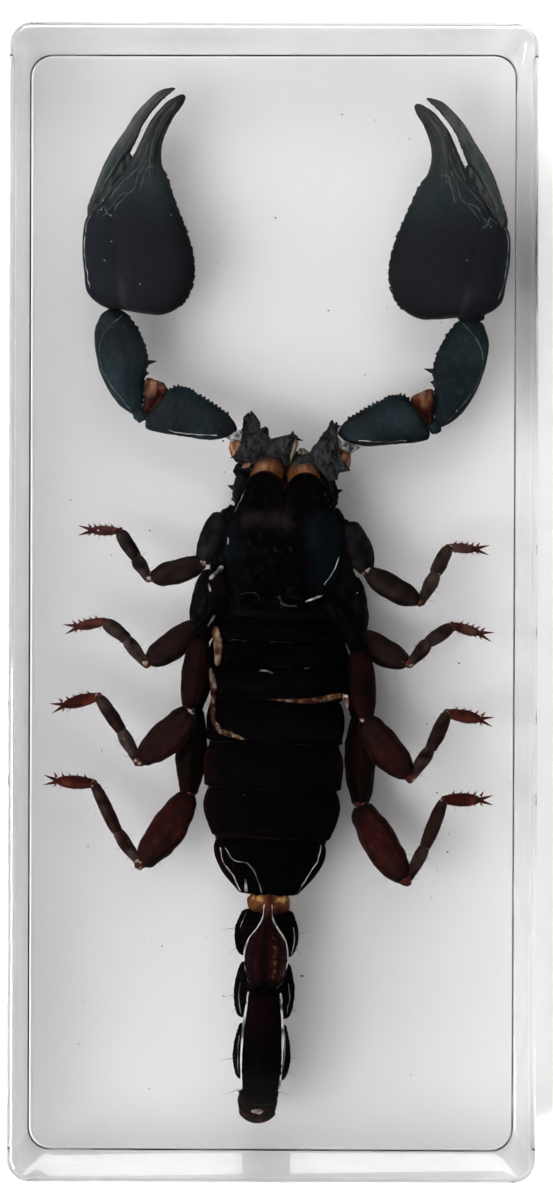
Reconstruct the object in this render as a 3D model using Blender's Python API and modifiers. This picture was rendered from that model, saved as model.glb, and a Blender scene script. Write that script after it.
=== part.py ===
"""A dried black forest scorpion cast in a clear resin block.

The block lies flat, +Z up, with the origin at the centre of its base. The scorpion lies belly down in it
with its head towards +Y, turned a little about the block's own axis. Its pieces are drawn in its own frame,
in millimetres: X across, to the scorpion's right, Y forward along its midline, Z the height above the base.

A shell piece is a loft through sections that stand upright on a line between its two edges as seen from
above. A leg is a chain of tubes, a tail segment is a turned barrel, and spines and claws are cones.
"""

from math import cos, pi, radians, sin

import bmesh
import bpy
from mathutils import Matrix, Vector

MM = 0.001
WELD = 0.000001  # vertices this close, in metres, are made one
SHARP_ANGLE = radians(40)
UP = Vector((0, 0, 1))

# The block. Its width and length are those of its top before the rim is rounded.
BLOCK_WIDTH = 68.6
BLOCK_LENGTH = 150.2
BLOCK_HEIGHT = 24.0
BLOCK_CORNER_RADIUS = 3.0
BLOCK_CORNER_STEPS = 5
BLOCK_TOP_RADIUS = 1.2
BLOCK_BASE_RADIUS = 0.4
BLOCK_RIM_STEPS = 2
BLOCK_DRAFT = 2.0  # how far each side leans in from the top to the base
PARTING_HEIGHT = 10.4  # the block is parted here, so that the scorpion can sit in a pocket
PIECE_GAP = 0.3  # between neighbours, and between the two halves

# Where the scorpion lies in the block.
SPECIMEN_OFFSET = 1.1
SPECIMEN_TURN = radians(-2.2)

# Heights of the pieces' middles above the base.
CLAW_HEIGHT = 11.2
ARM_HEIGHT = 11.0
ARM_BASE_HEIGHT = 9.4
JAW_HEIGHT = 11.4
COMB_HEIGHT = 5.1
TAIL_HEIGHT = 9.4
TAIL_FOLD_HEIGHT = 15.9
KNEE_HEIGHT = 10.6
SHIN_HEIGHT = 10.2
ANKLE_HEIGHT = 9.6
TOE_HEIGHT = 9.1

# A claw, arm or jaw station is its inner edge (x, y), its outer edge (x, y) and its half thickness.
HAND = (
    ((21.7, 39.3), (24.9, 39.2), 1.7),
    ((19.7, 38.4), (26.6, 39.9), 3.0),
    ((17.3, 38.0), (27.5, 41.4), 4.0),
    ((15.1, 38.9), (27.9, 43.2), 4.5),
    ((13.6, 40.7), (28.1, 45.2), 4.7),
    ((12.9, 43.2), (28.1, 47.2), 4.6),
    ((13.0, 46.2), (27.9, 49.3), 4.4),
    ((13.9, 49.4), (26.5, 51.8), 3.9),
    ((15.0, 52.3), (24.9, 54.2), 3.3),
    ((16.1, 54.9), (23.3, 56.4), 2.7),
    ((17.3, 57.2), (22.1, 58.1), 2.2),
    ((17.7, 59.3), (21.2, 59.8), 1.8),
    ((17.4, 61.2), (20.3, 61.7), 1.5),
    ((16.6, 63.2), (19.1, 63.6), 1.2),
    ((15.6, 64.8), (17.4, 65.3), 0.9),
)
HAND_TIP = (15.2, 66.2)
FINGER = (
    ((28.1, 50.5), (28.4, 50.4), 1.3),
    ((26.9, 52.2), (27.9, 52.6), 2.1),
    ((25.3, 54.5), (26.9, 55.2), 2.3),
    ((23.7, 56.7), (25.6, 57.8), 2.2),
    ((22.5, 58.6), (24.4, 59.8), 1.9),
    ((21.7, 60.4), (23.3, 61.4), 1.6),
    ((20.8, 62.4), (22.1, 63.3), 1.4),
    ((19.5, 64.2), (20.6, 65.0), 1.1),
    ((18.1, 65.7), (18.9, 66.5), 0.8),
)
FINGER_TIP = (16.6, 67.0)
FOREARM = (
    ((19.7, 23.9), (20.6, 24.0), 1.2),
    ((19.2, 25.6), (22.4, 25.5), 2.2),
    ((19.1, 27.6), (23.8, 27.4), 2.8),
    ((19.0, 29.4), (24.8, 29.5), 3.1),
    ((18.7, 31.4), (25.4, 31.5), 3.2),
    ((19.2, 33.6), (25.8, 33.6), 3.0),
    ((20.2, 35.8), (25.8, 35.6), 2.6),
    ((21.3, 37.4), (25.2, 37.3), 2.0),
    ((22.0, 38.5), (24.6, 38.5), 1.2),
)
FOREARM_SPURS = (((19.6, 31.0), (17.5, 31.5)),)
UPPER_ARM = (
    ((6.5, 22.9), (6.8, 22.0), 0.9),
    ((7.6, 24.2), (8.1, 21.4), 1.7),
    ((9.4, 25.4), (10.2, 21.0), 2.3),
    ((11.6, 26.7), (12.4, 21.2), 2.6),
    ((13.6, 27.8), (14.8, 21.5), 2.7),
    ((15.3, 27.6), (17.0, 21.8), 2.6),
    ((16.5, 26.2), (18.4, 22.2), 2.1),
    ((17.5, 24.9), (19.1, 22.8), 1.4),
)
ELBOW_SKIN = (
    ((16.2, 27.7), (18.5, 28.5), 1.9),
    ((17.1, 26.6), (18.6, 27.0), 1.7),
    ((17.9, 25.5), (18.7, 25.6), 1.3),
    ((18.5, 24.5), (18.9, 24.5), 0.8),
)
SHOULDER = (
    ((4.6, 18.2), (6.4, 18.0), 1.5),
    ((3.8, 19.3), (6.7, 19.1), 2.1),
    ((3.4, 20.9), (6.1, 20.8), 2.3),
    ((3.7, 22.4), (5.7, 22.3), 1.9),
    ((4.6, 23.7), (5.6, 23.7), 1.1),
)
SHOULDER_TIP = (5.2, 25.0)
SHOULDER_SPURS = (((6.0, 18.7), (8.1, 17.7)), ((4.4, 21.9), (3.0, 23.2)))
ARM_BASE = (
    ((5.9, 12.4), (6.3, 12.4), 0.9),
    ((5.6, 13.8), (6.9, 13.6), 1.7),
    ((5.2, 15.4), (6.8, 15.2), 2.0),
    ((4.9, 17.0), (6.3, 16.9), 1.6),
)
ARM_BASE_SPURS = (((6.3, 14.8), (7.6, 15.2)),)
SPUR_RADIUS = 0.6
SPUR_SIDES = 4
ARM_FULLNESS = 0.85  # how square an arm's sections are, from 1 for round towards 0 for square
JAW = (
    ((0.3, 11.0), (3.6, 11.0), 1.1),
    ((0.2, 13.4), (4.3, 13.2), 1.3),
    ((0.2, 16.0), (4.7, 15.8), 1.5),
    ((0.2, 18.2), (4.2, 18.0), 2.1),
    ((0.3, 19.9), (3.3, 19.8), 1.8),
    ((0.6, 20.9), (2.8, 20.9), 1.2),
)
JAW_FANGS = (((1.2, 20.2), (0.5, 22.3)), ((2.3, 20.2), (2.5, 22.0)))

# The two arms lie a little differently. For each side, a piece's scale about its pivot (x, y), and its shift.
ARM_FIT = {
    ("hand", "left"): (HAND_TIP, (0.95, 1.03), (0.0, 0.0)),
    ("finger", "left"): (HAND_TIP, (0.95, 1.03), (0.0, 0.0)),
    ("forearm", "left"): ((20.0, 23.9), (1.0, 0.95), (0.0, 0.0)),
    ("shoulder", "right"): (SHOULDER_TIP, (1.0, 1.0), (0.6, -0.7)),
}

# The carapace: its half width and the height of its crown at each y, from the rear.
CARAPACE_ROWS = (
    (-0.9, 4.6, 14.2),
    (1.0, 6.2, 14.7),
    (3.5, 7.2, 15.2),
    (6.5, 7.7, 15.4),
    (9.5, 7.5, 15.2),
    (12.5, 6.6, 14.9),
    (14.6, 5.7, 14.6),
)
CARAPACE_COLUMNS = 12
CARAPACE_EDGE_HEIGHT = 12.1
CARAPACE_THICKNESS = 0.6
CARAPACE_SHOULDER = 3.0  # how square its sides are: the power that the crown falls off by
CARAPACE_LOBE_REACH = 2.6  # how far the two front lobes stand out past the notch between them
CARAPACE_LOBE_START = 3.5  # the y where they begin to swell
CARAPACE_LOBE_ONSET = 3  # the power by which they swell towards the front
CARAPACE_LOBE_PLACE = 0.9  # under 1 draws their tips towards the midline

CHEST_SIDES = 10
CHEST = (  # y, half width, lowest, highest
    (-0.7, 3.2, 8.2, 11.6),
    (1.5, 4.8, 7.4, 12.4),
    (5.0, 5.8, 6.9, 12.9),
    (9.0, 5.4, 7.0, 12.6),
    (10.5, 3.6, 7.6, 11.4),
)

# The seven abdomen rings: the y of each joint, the heights of back and belly there, and each ring's half
# widths, as (share of its length, half width).
RING_JOINTS = (-1.6, -4.7, -8.0, -12.5, -18.2, -24.2, -30.7, -38.6)
RING_BACKS = (14.0, 14.4, 14.7, 14.9, 15.0, 14.8, 14.2, 12.2)
RING_BELLIES = (8.6, 8.2, 7.8, 7.2, 6.6, 6.5, 6.9, 7.6)
RING_WIDTHS = (
    ((0.0, 6.0), (0.3, 7.3), (0.75, 7.5), (1.0, 7.5)),
    ((0.0, 7.4), (0.3, 8.2), (0.75, 8.3), (1.0, 8.2)),
    ((0.0, 8.0), (0.3, 8.6), (0.75, 8.7), (1.0, 8.6)),
    ((0.0, 8.3), (0.3, 9.0), (0.75, 9.0), (1.0, 8.8)),
    ((0.0, 8.3), (0.3, 9.1), (0.75, 9.1), (1.0, 8.9)),
    ((0.0, 8.4), (0.3, 9.0), (0.75, 8.4), (1.0, 7.6)),
    ((0.0, 7.0), (0.2, 7.4), (0.6, 6.3), (1.0, 3.6)),
)
RING_TUCK = 0.45  # how much lower the back is where it slides under the ring in front
RING_FULLNESS = 0.8
RING_SIDES = 14

# A comb's plan points (x, y) and its half width there.
COMB = (((0.9, -2.4), 0.35), ((3.0, -3.4), 0.7), ((5.6, -4.4), 0.6), ((7.4, -5.0), 0.25))
COMB_FLATNESS = 0.5

# Tail segments: (front y, rear y, half width at the ends, at the widest, half height). The first three lie
# under the fold, and the fifth comes back over them.
TAIL_SEGMENTS = {
    1: (-40.3, -46.8, 3.0, 4.0, 2.8),
    2: (-47.2, -54.9, 3.0, 3.8, 2.75),
    3: (-55.3, -63.0, 2.8, 3.6, 2.7),
    5: (-51.2, -65.6, 1.9, 2.45, 2.1),
}
# How a segment swells: (share of its length, share of its swell).
TAIL_SWELL = ((0.0, 0.0), (0.16, 0.5), (0.4, 1.0), (0.82, 0.8), (1.0, 0.1))
# The fourth segment stands on end: (height, half width).
TAIL_TURN = ((13.2, 1.5), (12.0, 2.3), (9.8, 2.6), (7.6, 2.3), (6.4, 1.4))
TAIL_TURN_CENTRE = (-0.3, -65.65)
TAIL_TURN_FLATNESS = 0.85
TAIL_SIDES = 10
TAIL_ROOT_CENTRE_Y = -39.45
TAIL_ROOT_SIZE = (2.6, 0.5, 1.7)  # half width, half length, half height

STINGER_SIDES = 10
STINGER = (  # y, half width, height of its middle, half height
    (-50.8, 0.9, 15.9, 0.9),
    (-50.0, 1.9, 15.9, 1.7),
    (-48.2, 2.6, 16.0, 2.3),
    (-46.2, 2.8, 16.1, 2.5),
    (-44.2, 2.4, 16.1, 2.2),
    (-42.6, 1.4, 16.0, 1.4),
    (-41.4, 0.7, 16.1, 0.8),
    (-39.8, 0.5, 16.5, 0.5),
    (-38.6, 0.3, 17.1, 0.3),
)
STINGER_TIP = (0.0, -37.8, 17.7)

# Legs, front to rear. Each has the plan points of hip, thigh top, thigh end, knee, shin end, ankle and toe,
# then the half widths of the thigh, the long segment up to the knee, the shin and the foot, then the heights
# of hip and thigh.
FRONT_LEG = (1.55, 1.65, 1.1, 0.65)
SECOND_LEG = (1.6, 1.85, 1.1, 0.7)
THIRD_LEG = (1.65, 2.25, 1.1, 0.85)
LAST_LEG = (1.8, 2.3, 1.05, 0.9)
LEGS = {
    "left_1": (
        (
            (-6.8, 10.6), (-8.2, 11.0), (-10.5, 4.8), (-17.4, 2.5),
            (-19.3, 5.3), (-21.6, 8.6), (-25.3, 8.5),
        ),
        FRONT_LEG, (9.4, 10.4),
    ),
    "left_2": (
        (
            (-7.0, 5.4), (-9.1, 3.5), (-10.9, -3.4), (-17.3, -8.7),
            (-20.1, -5.5), (-23.0, -3.4), (-26.7, -4.3),
        ),
        SECOND_LEG, (8.6, 8.8),
    ),
    "left_3": (
        (
            (-7.2, 0.0), (-10.4, -5.4), (-11.2, -14.9), (-17.7, -21.7),
            (-20.3, -17.5), (-23.4, -13.3), (-28.0, -14.7),
        ),
        THIRD_LEG, (10.4, 12.2),
    ),
    "left_4": (
        (
            (-5.6, -0.2), (-11.0, -14.6), (-11.0, -26.0), (-16.9, -35.3),
            (-20.3, -30.8), (-23.5, -24.8), (-28.5, -24.7),
        ),
        LAST_LEG, (6.6, 7.8),
    ),
    "right_1": (
        (
            (6.8, 10.2), (8.7, 10.5), (11.4, 4.4), (18.4, 0.8),
            (20.3, 4.9), (21.7, 8.2), (25.5, 8.1),
        ),
        FRONT_LEG, (9.4, 10.4),
    ),
    "right_2": (
        (
            (7.0, 5.2), (9.1, 3.4), (10.6, -4.0), (17.2, -7.4),
            (19.7, -4.3), (22.8, -2.1), (26.5, -3.0),
        ),
        SECOND_LEG, (8.6, 8.8),
    ),
    "right_3": (
        (
            (7.6, -0.4), (10.7, -6.0), (11.7, -15.0), (18.0, -22.3),
            (20.6, -18.2), (22.5, -13.6), (27.0, -14.3),
        ),
        THIRD_LEG, (10.4, 12.2),
    ),
    "right_4": (
        (
            (5.6, -0.2), (11.3, -14.8), (11.7, -26.5), (18.0, -36.0),
            (20.4, -31.1), (22.6, -25.0), (27.4, -24.9),
        ),
        LAST_LEG, (6.6, 7.8),
    ),
}
# How the width runs along a leg segment: (share of its length, share of its half width).
HIP_SHARE = 0.7  # the hip's half width as a share of the thigh's
HIP_PROFILE = ((0.0, 0.6), (1.0, HIP_SHARE))
THIGH_PROFILE = ((0.0, 0.6), (0.25, 0.95), (0.7, 0.95), (1.0, 0.5))
LONG_PROFILE = ((0.0, 0.5), (0.2, 0.85), (0.5, 1.0), (0.8, 0.82), (1.0, 0.4))
SHIN_PROFILE = ((0.0, 0.5), (0.4, 0.78), (0.85, 1.0), (1.0, 0.75))
ANKLE_PROFILE = ((0.0, 0.6), (1.0, 0.62))
FOOT_PROFILE = ((0.0, 0.55), (0.5, 0.98), (0.88, 0.95), (1.0, 0.6))
JOINT_OVERLAP = 0.5  # how far each segment of a leg starts inside the one before
TOE_CLAW_LENGTH = 1.6
TOE_CLAW_RADIUS = 0.28
TOE_CLAW_SPREAD = radians(24)
TOE_CLAW_DROOP = 0.25

# The pocket clears every piece by about this much. It is cut by plain channels with upright walls. A channel
# is its floor, its roof and its plan stations, each an inner and an outer edge (x, y). Those of an arm are
# mirrored.
POCKET_GAP = 0.45
SHIN_BEND = 0.3  # how far a leg strays from the straight line between its knee and its ankle
BODY_CHANNEL = (
    4.4, 16.4,
    (
        ((-3.6, 23.2), (3.6, 23.2)),
        ((-8.6, 16.4), (8.6, 16.4)),
        ((-9.0, 3.0), (9.0, 3.0)),
        ((-9.8, -12.0), (9.8, -12.0)),
        ((-9.8, -26.0), (9.8, -26.0)),
        ((-8.2, -32.5), (8.2, -32.5)),
        ((-4.4, -39.4), (4.4, -39.4)),
    ),
)
TAIL_CHANNEL = (
    5.7, 19.2,
    (
        ((-1.2, -36.8), (1.2, -36.8)),
        ((-4.5, -41.6), (4.5, -41.6)),
        ((-4.5, -62.0), (3.9, -62.0)),
        ((-3.5, -68.5), (2.9, -68.5)),
    ),
)
ARM_CHANNELS = (
    (
        5.6, 16.8,
        (
            ((20.2, 36.2), (25.8, 36.8)),
            ((13.4, 36.4), (28.8, 39.9)),
            ((12.0, 42.6), (29.2, 46.0)),
            ((12.4, 48.4), (28.9, 51.6)),
            ((16.6, 58.2), (26.2, 59.0)),
            ((15.3, 64.0), (22.2, 65.4)),
            ((13.9, 66.8), (17.6, 69.1)),
        ),
    ),
    (
        7.2, 14.8,
        (
            ((18.2, 23.2), (21.6, 23.2)),
            ((16.7, 31.3), (26.4, 30.2)),
            ((18.6, 35.6), (26.7, 36.0)),
            ((21.2, 39.2), (25.4, 39.2)),
        ),
    ),
    (
        7.9, 14.3,
        (
            ((5.3, 24.4), (5.9, 20.5)),
            ((13.2, 29.0), (14.6, 20.4)),
            ((16.2, 29.6), (17.6, 20.9)),
            ((19.6, 29.0), (20.4, 21.8)),
        ),
    ),
    (
        6.6, 13.9,
        (
            ((4.2, 11.6), (7.4, 11.4)),
            ((3.0, 17.0), (9.6, 15.8)),
            ((2.0, 23.4), (8.0, 22.0)),
            ((4.2, 26.0), (7.0, 25.4)),
        ),
    ),
)

COLOURS = {  # base colour, roughness, metallic, alpha
    "clear_resin": ((0.95, 0.96, 0.97), 0.03, 0.0, 0.25),
    "black_shell": ((0.006, 0.007, 0.008), 0.25, 0.0, 1.0),
    "leg_shell": ((0.045, 0.016, 0.010), 0.35, 0.0, 1.0),
    "stinger_shell": ((0.060, 0.010, 0.008), 0.25, 0.0, 1.0),
    "jaw_shell": ((0.35, 0.17, 0.07), 0.35, 0.0, 1.0),
    "joint_skin": ((0.55, 0.22, 0.05), 0.45, 0.0, 1.0),
}


# ---- Shapes --------------------------------------------------------------------------------------


def add_object(name, shape, collection, material=None):
    """Turns a bmesh in millimetres into an object in metres, its faces pointing out."""
    bmesh.ops.recalc_face_normals(shape, faces=shape.faces)
    bmesh.ops.scale(shape, vec=(MM, MM, MM), verts=shape.verts)
    mesh = bpy.data.meshes.new(name)
    shape.to_mesh(mesh)
    shape.free()
    return add_mesh(name, mesh, collection, material)


def add_mesh(name, mesh, collection, material=None):
    mesh.shade_smooth()
    mesh.set_sharp_from_angle(angle=SHARP_ANGLE)
    if material:
        mesh.materials.append(material)
    made = bpy.data.objects.new(name, mesh)
    collection.objects.link(made)
    return made


def as_evaluated(item):
    """The mesh of an object as its modifiers or its curve bevel leave it."""
    bpy.context.view_layer.update()
    graph = bpy.context.evaluated_depsgraph_get()
    return bpy.data.meshes.new_from_object(item.evaluated_get(graph))


def signed_power(value, exponent):
    return (abs(value) ** exponent) * (1 if value >= 0 else -1)


def upright_ring(edge_a, edge_b, height, half_height, sides, fullness):
    """A ring that stands on the line from edge_a to edge_b in plan. A fullness under 1 squares it off."""
    a, b = Vector(edge_a), Vector(edge_b)
    middle, reach = (a + b) / 2, (b - a) / 2
    ring = []
    for i in range(sides):
        angle = 2 * pi * i / sides
        plan = middle + reach * signed_power(cos(angle), fullness)
        ring.append((plan.x, plan.y, height + half_height * signed_power(sin(angle), fullness)))
    return ring


def loft(name, rings, collection, material=None, tip=None):
    """Joins rings of equal length into one closed skin. Its last end closes on the tip if there is one."""
    shape = bmesh.new()
    loops = [[shape.verts.new(point) for point in ring] for ring in rings]
    for near, far in zip(loops, loops[1:]):
        for i in range(len(near)):
            j = (i + 1) % len(near)
            shape.faces.new((near[i], near[j], far[j], far[i]))
    shape.faces.new(loops[0])
    last = loops[-1]
    if tip:
        pole = shape.verts.new(tip)
        for i in range(len(last)):
            shape.faces.new((last[i], last[(i + 1) % len(last)], pole))
    else:
        shape.faces.new(last)
    return add_object(name, shape, collection, material)


def body_loft(name, stations, sides, collection, material=None):
    """A loft along the midline through (y, half width, lowest, highest)."""
    rings = [
        upright_ring((-half, y), (half, y), (low + high) / 2, (high - low) / 2, sides, RING_FULLNESS)
        for y, half, low, high in stations
    ]
    return loft(name, rings, collection, material)


def edge_loft(name, stations, height, side, sides, collection, material=None, tip=None):
    """A loft through stations given by their two edges. A side of -1 mirrors it to the scorpion's left."""
    rings = [
        upright_ring(mirrored(a, side), mirrored(b, side), height, half, sides, ARM_FULLNESS)
        for a, b, half in stations
    ]
    return loft(name, rings, collection, material, (*mirrored(tip, side), height) if tip else None)


def tube(name, stations, collection, material=None):
    """A six-sided tube through (point, half width), as a poly curve with a bevel, made a mesh."""
    curve = bpy.data.curves.new(name, "CURVE")
    curve.dimensions = "3D"
    curve.bevel_depth = MM
    curve.bevel_resolution = 1
    curve.use_fill_caps = True
    spline = curve.splines.new("POLY")
    spline.points.add(len(stations) - 1)
    for point, (place, half_width) in zip(spline.points, stations):
        point.co = (*(Vector(place) * MM), 1)
        point.radius = half_width
    guide = bpy.data.objects.new(name, curve)
    collection.objects.link(guide)
    mesh = as_evaluated(guide)
    bpy.data.curves.remove(curve)
    shape = bmesh.new()
    shape.from_mesh(mesh)
    bmesh.ops.remove_doubles(shape, verts=shape.verts, dist=WELD)
    bmesh.ops.recalc_face_normals(shape, faces=shape.faces)
    shape.to_mesh(mesh)
    shape.free()
    return add_mesh(name, mesh, collection, material)


def cone(name, base, tip, radius, collection):
    """A cone from base to tip, its foot buried in what it grows from."""
    base, tip = Vector(base), Vector(tip)
    direction = tip - base
    place = Matrix.Translation((base + tip) / 2) @ direction.to_track_quat("Z", "Y").to_matrix().to_4x4()
    shape = bmesh.new()
    bmesh.ops.create_cone(
        shape, cap_ends=True, segments=SPUR_SIDES, radius1=radius, radius2=0,
        depth=direction.length, matrix=place
    )
    return add_object(name, shape, collection)


def joined(base, extras):
    """Fuses the extra objects into base with Boolean unions."""
    for extra in extras:
        union = base.modifiers.new("join", "BOOLEAN")
        union.operation = "UNION"
        union.solver = "EXACT"
        union.object = extra
    mesh = as_evaluated(base)
    base.modifiers.clear()
    base.data = mesh
    for extra in extras:
        bpy.data.objects.remove(extra)
    return base


def turned(name, profile, axis, collection, material):
    """A barrel turned about its axis from (place along it, radius) in millimetres, closed at its ends."""
    points = [(0.0, profile[0][0]), *((radius, along) for along, radius in profile), (0.0, profile[-1][0])]
    shape = bmesh.new()
    verts = []
    for radius, along in points:
        place = (radius, along, 0) if axis == "Y" else (radius, 0, along)
        verts.append(shape.verts.new(Vector(place) * MM))
    for near, far in zip(verts, verts[1:]):
        shape.edges.new((near, far))
    mesh = bpy.data.meshes.new(name)
    shape.to_mesh(mesh)
    shape.free()
    mesh.materials.append(material)
    made = bpy.data.objects.new(name, mesh)
    collection.objects.link(made)
    screw = made.modifiers.new("turn", "SCREW")
    screw.axis = axis
    screw.steps = TAIL_SIDES
    screw.render_steps = TAIL_SIDES
    screw.use_merge_vertices = True
    screw.merge_threshold = WELD
    return made


# ---- Plan helpers --------------------------------------------------------------------------------


def mirrored(point, side):
    return (point[0] * side, *point[1:])


def fitted(point, fit):
    """A plan point scaled about the fit's pivot and shifted."""
    pivot, scale, shift = fit
    return tuple(p + (value - p) * s + move for value, p, s, move in zip(point, pivot, scale, shift))


# ---- The arms and jaws ---------------------------------------------------------------------------


def arm_piece(kind, side_name, side, stations, height, sides, specimen, material, tip=None, spurs=()):
    """One hard piece of an arm, fitted to its side, with its spurs fused on."""
    fit = ARM_FIT.get((kind, side_name), ((0.0, 0.0), (1.0, 1.0), (0.0, 0.0)))
    placed = [(fitted(a, fit), fitted(b, fit), half) for a, b, half in stations]
    end = fitted(tip, fit) if tip else None
    name = f"{kind}_{side_name}"
    piece = edge_loft(name, placed, height, side, sides, specimen, material, end)
    cones = []
    for foot, point in spurs:
        ends = [(*mirrored(fitted(place, fit), side), height) for place in (foot, point)]
        cones.append(cone("spur", *ends, SPUR_RADIUS, specimen))
    return joined(piece, cones) if cones else piece


def build_arm(side_name, side, materials, specimen):
    """One claw arm from its base to its two fingers, and the jaw beside it."""
    black = materials["black_shell"]
    kinds = (
        ("hand", HAND, CLAW_HEIGHT, 10, black, HAND_TIP, ()),
        ("finger", FINGER, CLAW_HEIGHT, 8, black, FINGER_TIP, ()),
        ("forearm", FOREARM, ARM_HEIGHT, 10, black, None, FOREARM_SPURS),
        ("upper_arm", UPPER_ARM, ARM_HEIGHT, 10, black, None, ()),
        ("elbow_skin", ELBOW_SKIN, ARM_HEIGHT, 8, materials["joint_skin"], None, ()),
        ("shoulder", SHOULDER, ARM_HEIGHT, 8, black, SHOULDER_TIP, SHOULDER_SPURS),
        ("arm_base", ARM_BASE, ARM_BASE_HEIGHT, 8, black, None, ARM_BASE_SPURS),
        ("jaw", JAW, JAW_HEIGHT, 8, materials["jaw_shell"], None, JAW_FANGS),
    )
    return [
        arm_piece(kind, side_name, side, stations, height, sides, specimen, material, tip, spurs)
        for kind, stations, height, sides, material, tip, spurs in kinds
    ]


# ---- Head, abdomen and tail ----------------------------------------------------------------------


def build_carapace(materials, specimen):
    """The head shield: a grid domed into a sheet with a two-lobed front edge, then thickened."""
    shape = bmesh.new()
    last_row = len(CARAPACE_ROWS) - 1
    bmesh.ops.create_grid(shape, x_segments=CARAPACE_COLUMNS, y_segments=last_row, size=1.0)
    front = CARAPACE_ROWS[-1][0]
    for vert in shape.verts:
        across = vert.co.x
        y, half_width, crown = CARAPACE_ROWS[round((vert.co.y + 1) / 2 * last_row)]
        forward = max(0.0, (y - CARAPACE_LOBE_START) / (front - CARAPACE_LOBE_START))
        lobe = CARAPACE_LOBE_REACH * sin(pi * abs(across) ** CARAPACE_LOBE_PLACE)
        drop = (crown - CARAPACE_EDGE_HEIGHT) * abs(across) ** CARAPACE_SHOULDER
        vert.co = (half_width * across, y + lobe * forward ** CARAPACE_LOBE_ONSET, crown - drop)
    carapace = add_object("carapace", shape, specimen, materials["black_shell"])
    thick = carapace.modifiers.new("thickness", "SOLIDIFY")
    thick.thickness = CARAPACE_THICKNESS * MM
    thick.offset = -1
    return carapace


def build_ring(number, materials, specimen):
    """One abdomen ring, tucked in a little at its front, where it slides under the one before."""
    i = number - 1
    front, rear = RING_JOINTS[i] - PIECE_GAP / 2, RING_JOINTS[i + 1] + PIECE_GAP / 2
    stations = []
    for share, half in RING_WIDTHS[i]:
        tuck = RING_TUCK if share == 0 else 0.0
        back = RING_BACKS[i] + (RING_BACKS[i + 1] - RING_BACKS[i]) * share - tuck
        belly = RING_BELLIES[i] + (RING_BELLIES[i + 1] - RING_BELLIES[i]) * share + tuck / 2
        stations.append((front + (rear - front) * share, half, belly, back))
    return body_loft(f"abdomen_ring_{number}", stations, RING_SIDES, specimen, materials["black_shell"])


def build_body(materials, specimen):
    made = [build_carapace(materials, specimen)]
    made.append(body_loft("chest", CHEST, CHEST_SIDES, specimen, materials["leg_shell"]))
    for number in range(1, len(RING_JOINTS)):
        made.append(build_ring(number, materials, specimen))
    for name, side in (("comb_left", -1), ("comb_right", 1)):
        stations = [((*mirrored(place, side), 0.0), half) for place, half in COMB]
        comb = tube(name, stations, specimen, materials["joint_skin"])
        comb.location.z = COMB_HEIGHT * MM
        comb.scale.z = COMB_FLATNESS
        made.append(comb)
    return made


def build_tail(materials, specimen):
    black = materials["black_shell"]
    made = []
    for number, (front, rear, ends, widest, half_height) in TAIL_SEGMENTS.items():
        length, bulge = rear - front, widest - ends
        profile = [(front + length * share, ends + bulge * swell) for share, swell in TAIL_SWELL]
        segment = turned(f"tail_segment_{number}", profile, "Y", specimen, black)
        segment.location.z = (TAIL_FOLD_HEIGHT if number == 5 else TAIL_HEIGHT) * MM
        segment.scale.z = half_height / widest
        made.append(segment)
    turn = turned("tail_segment_4", TAIL_TURN, "Z", specimen, black)
    turn.location = (TAIL_TURN_CENTRE[0] * MM, TAIL_TURN_CENTRE[1] * MM, 0)
    turn.scale.y = TAIL_TURN_FLATNESS
    half_width, half_length, half_height = TAIL_ROOT_SIZE
    y = TAIL_ROOT_CENTRE_Y
    root = [(y + half_length, half_width), (y - half_length, half_width)]
    skin = turned("tail_root_skin", root, "Y", specimen, materials["joint_skin"])
    skin.location.z = TAIL_HEIGHT * MM
    skin.scale.z = half_height / half_width
    rings = [
        upright_ring((-half, y), (half, y), height, tall, STINGER_SIDES, 1.0)
        for y, half, height, tall in STINGER
    ]
    stinger = loft("stinger", rings, specimen, materials["stinger_shell"], STINGER_TIP)
    return [*made, turn, skin, stinger]


# ---- The legs ------------------------------------------------------------------------------------


def leg_joints(plan, heights):
    """The leg's joints in space: it leaves the hip low, rises to the knee and comes down to the toe."""
    hip_height, thigh_height = heights
    levels = (hip_height, thigh_height, thigh_height, KNEE_HEIGHT, SHIN_HEIGHT, ANKLE_HEIGHT, TOE_HEIGHT)
    return [Vector((*point, level)) for point, level in zip(plan, levels)]


def toe_claws(name, ankle, toe, specimen):
    """The two hooked claws at the toe, as cones that spread and droop."""
    along = (toe - ankle).normalized()
    claws = []
    for turn in (-TOE_CLAW_SPREAD, TOE_CLAW_SPREAD):
        lean = Matrix.Rotation(turn, 3, "Z") @ along - UP * TOE_CLAW_DROOP
        foot = toe - along * JOINT_OVERLAP
        point = foot + lean.normalized() * TOE_CLAW_LENGTH
        claws.append(cone(f"{name}_claw", foot, point, TOE_CLAW_RADIUS, specimen))
    return claws


def build_leg(name, plan, half_widths, heights, materials, specimen):
    """One leg, from the hip to its pair of toe claws, fused into one piece."""
    joints = leg_joints(plan, heights)
    thigh, long_part, shin, foot = half_widths
    segments = (
        (HIP_PROFILE, thigh), (THIGH_PROFILE, thigh), (LONG_PROFILE, long_part),
        (SHIN_PROFILE, shin), (ANKLE_PROFILE, shin), (FOOT_PROFILE, foot),
    )
    tubes = []
    for start, end, (profile, half) in zip(joints, joints[1:], segments):
        start = start + (start - end).normalized() * JOINT_OVERLAP
        stations = [(start.lerp(end, share), half * width) for share, width in profile]
        tubes.append(tube(name, stations, specimen, materials["leg_shell"]))
    leg = joined(tubes[0], tubes[1:] + toe_claws(name, joints[-2], joints[-1], specimen))
    leg.name = name
    return leg


# ---- The block and its pocket --------------------------------------------------------------------


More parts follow.
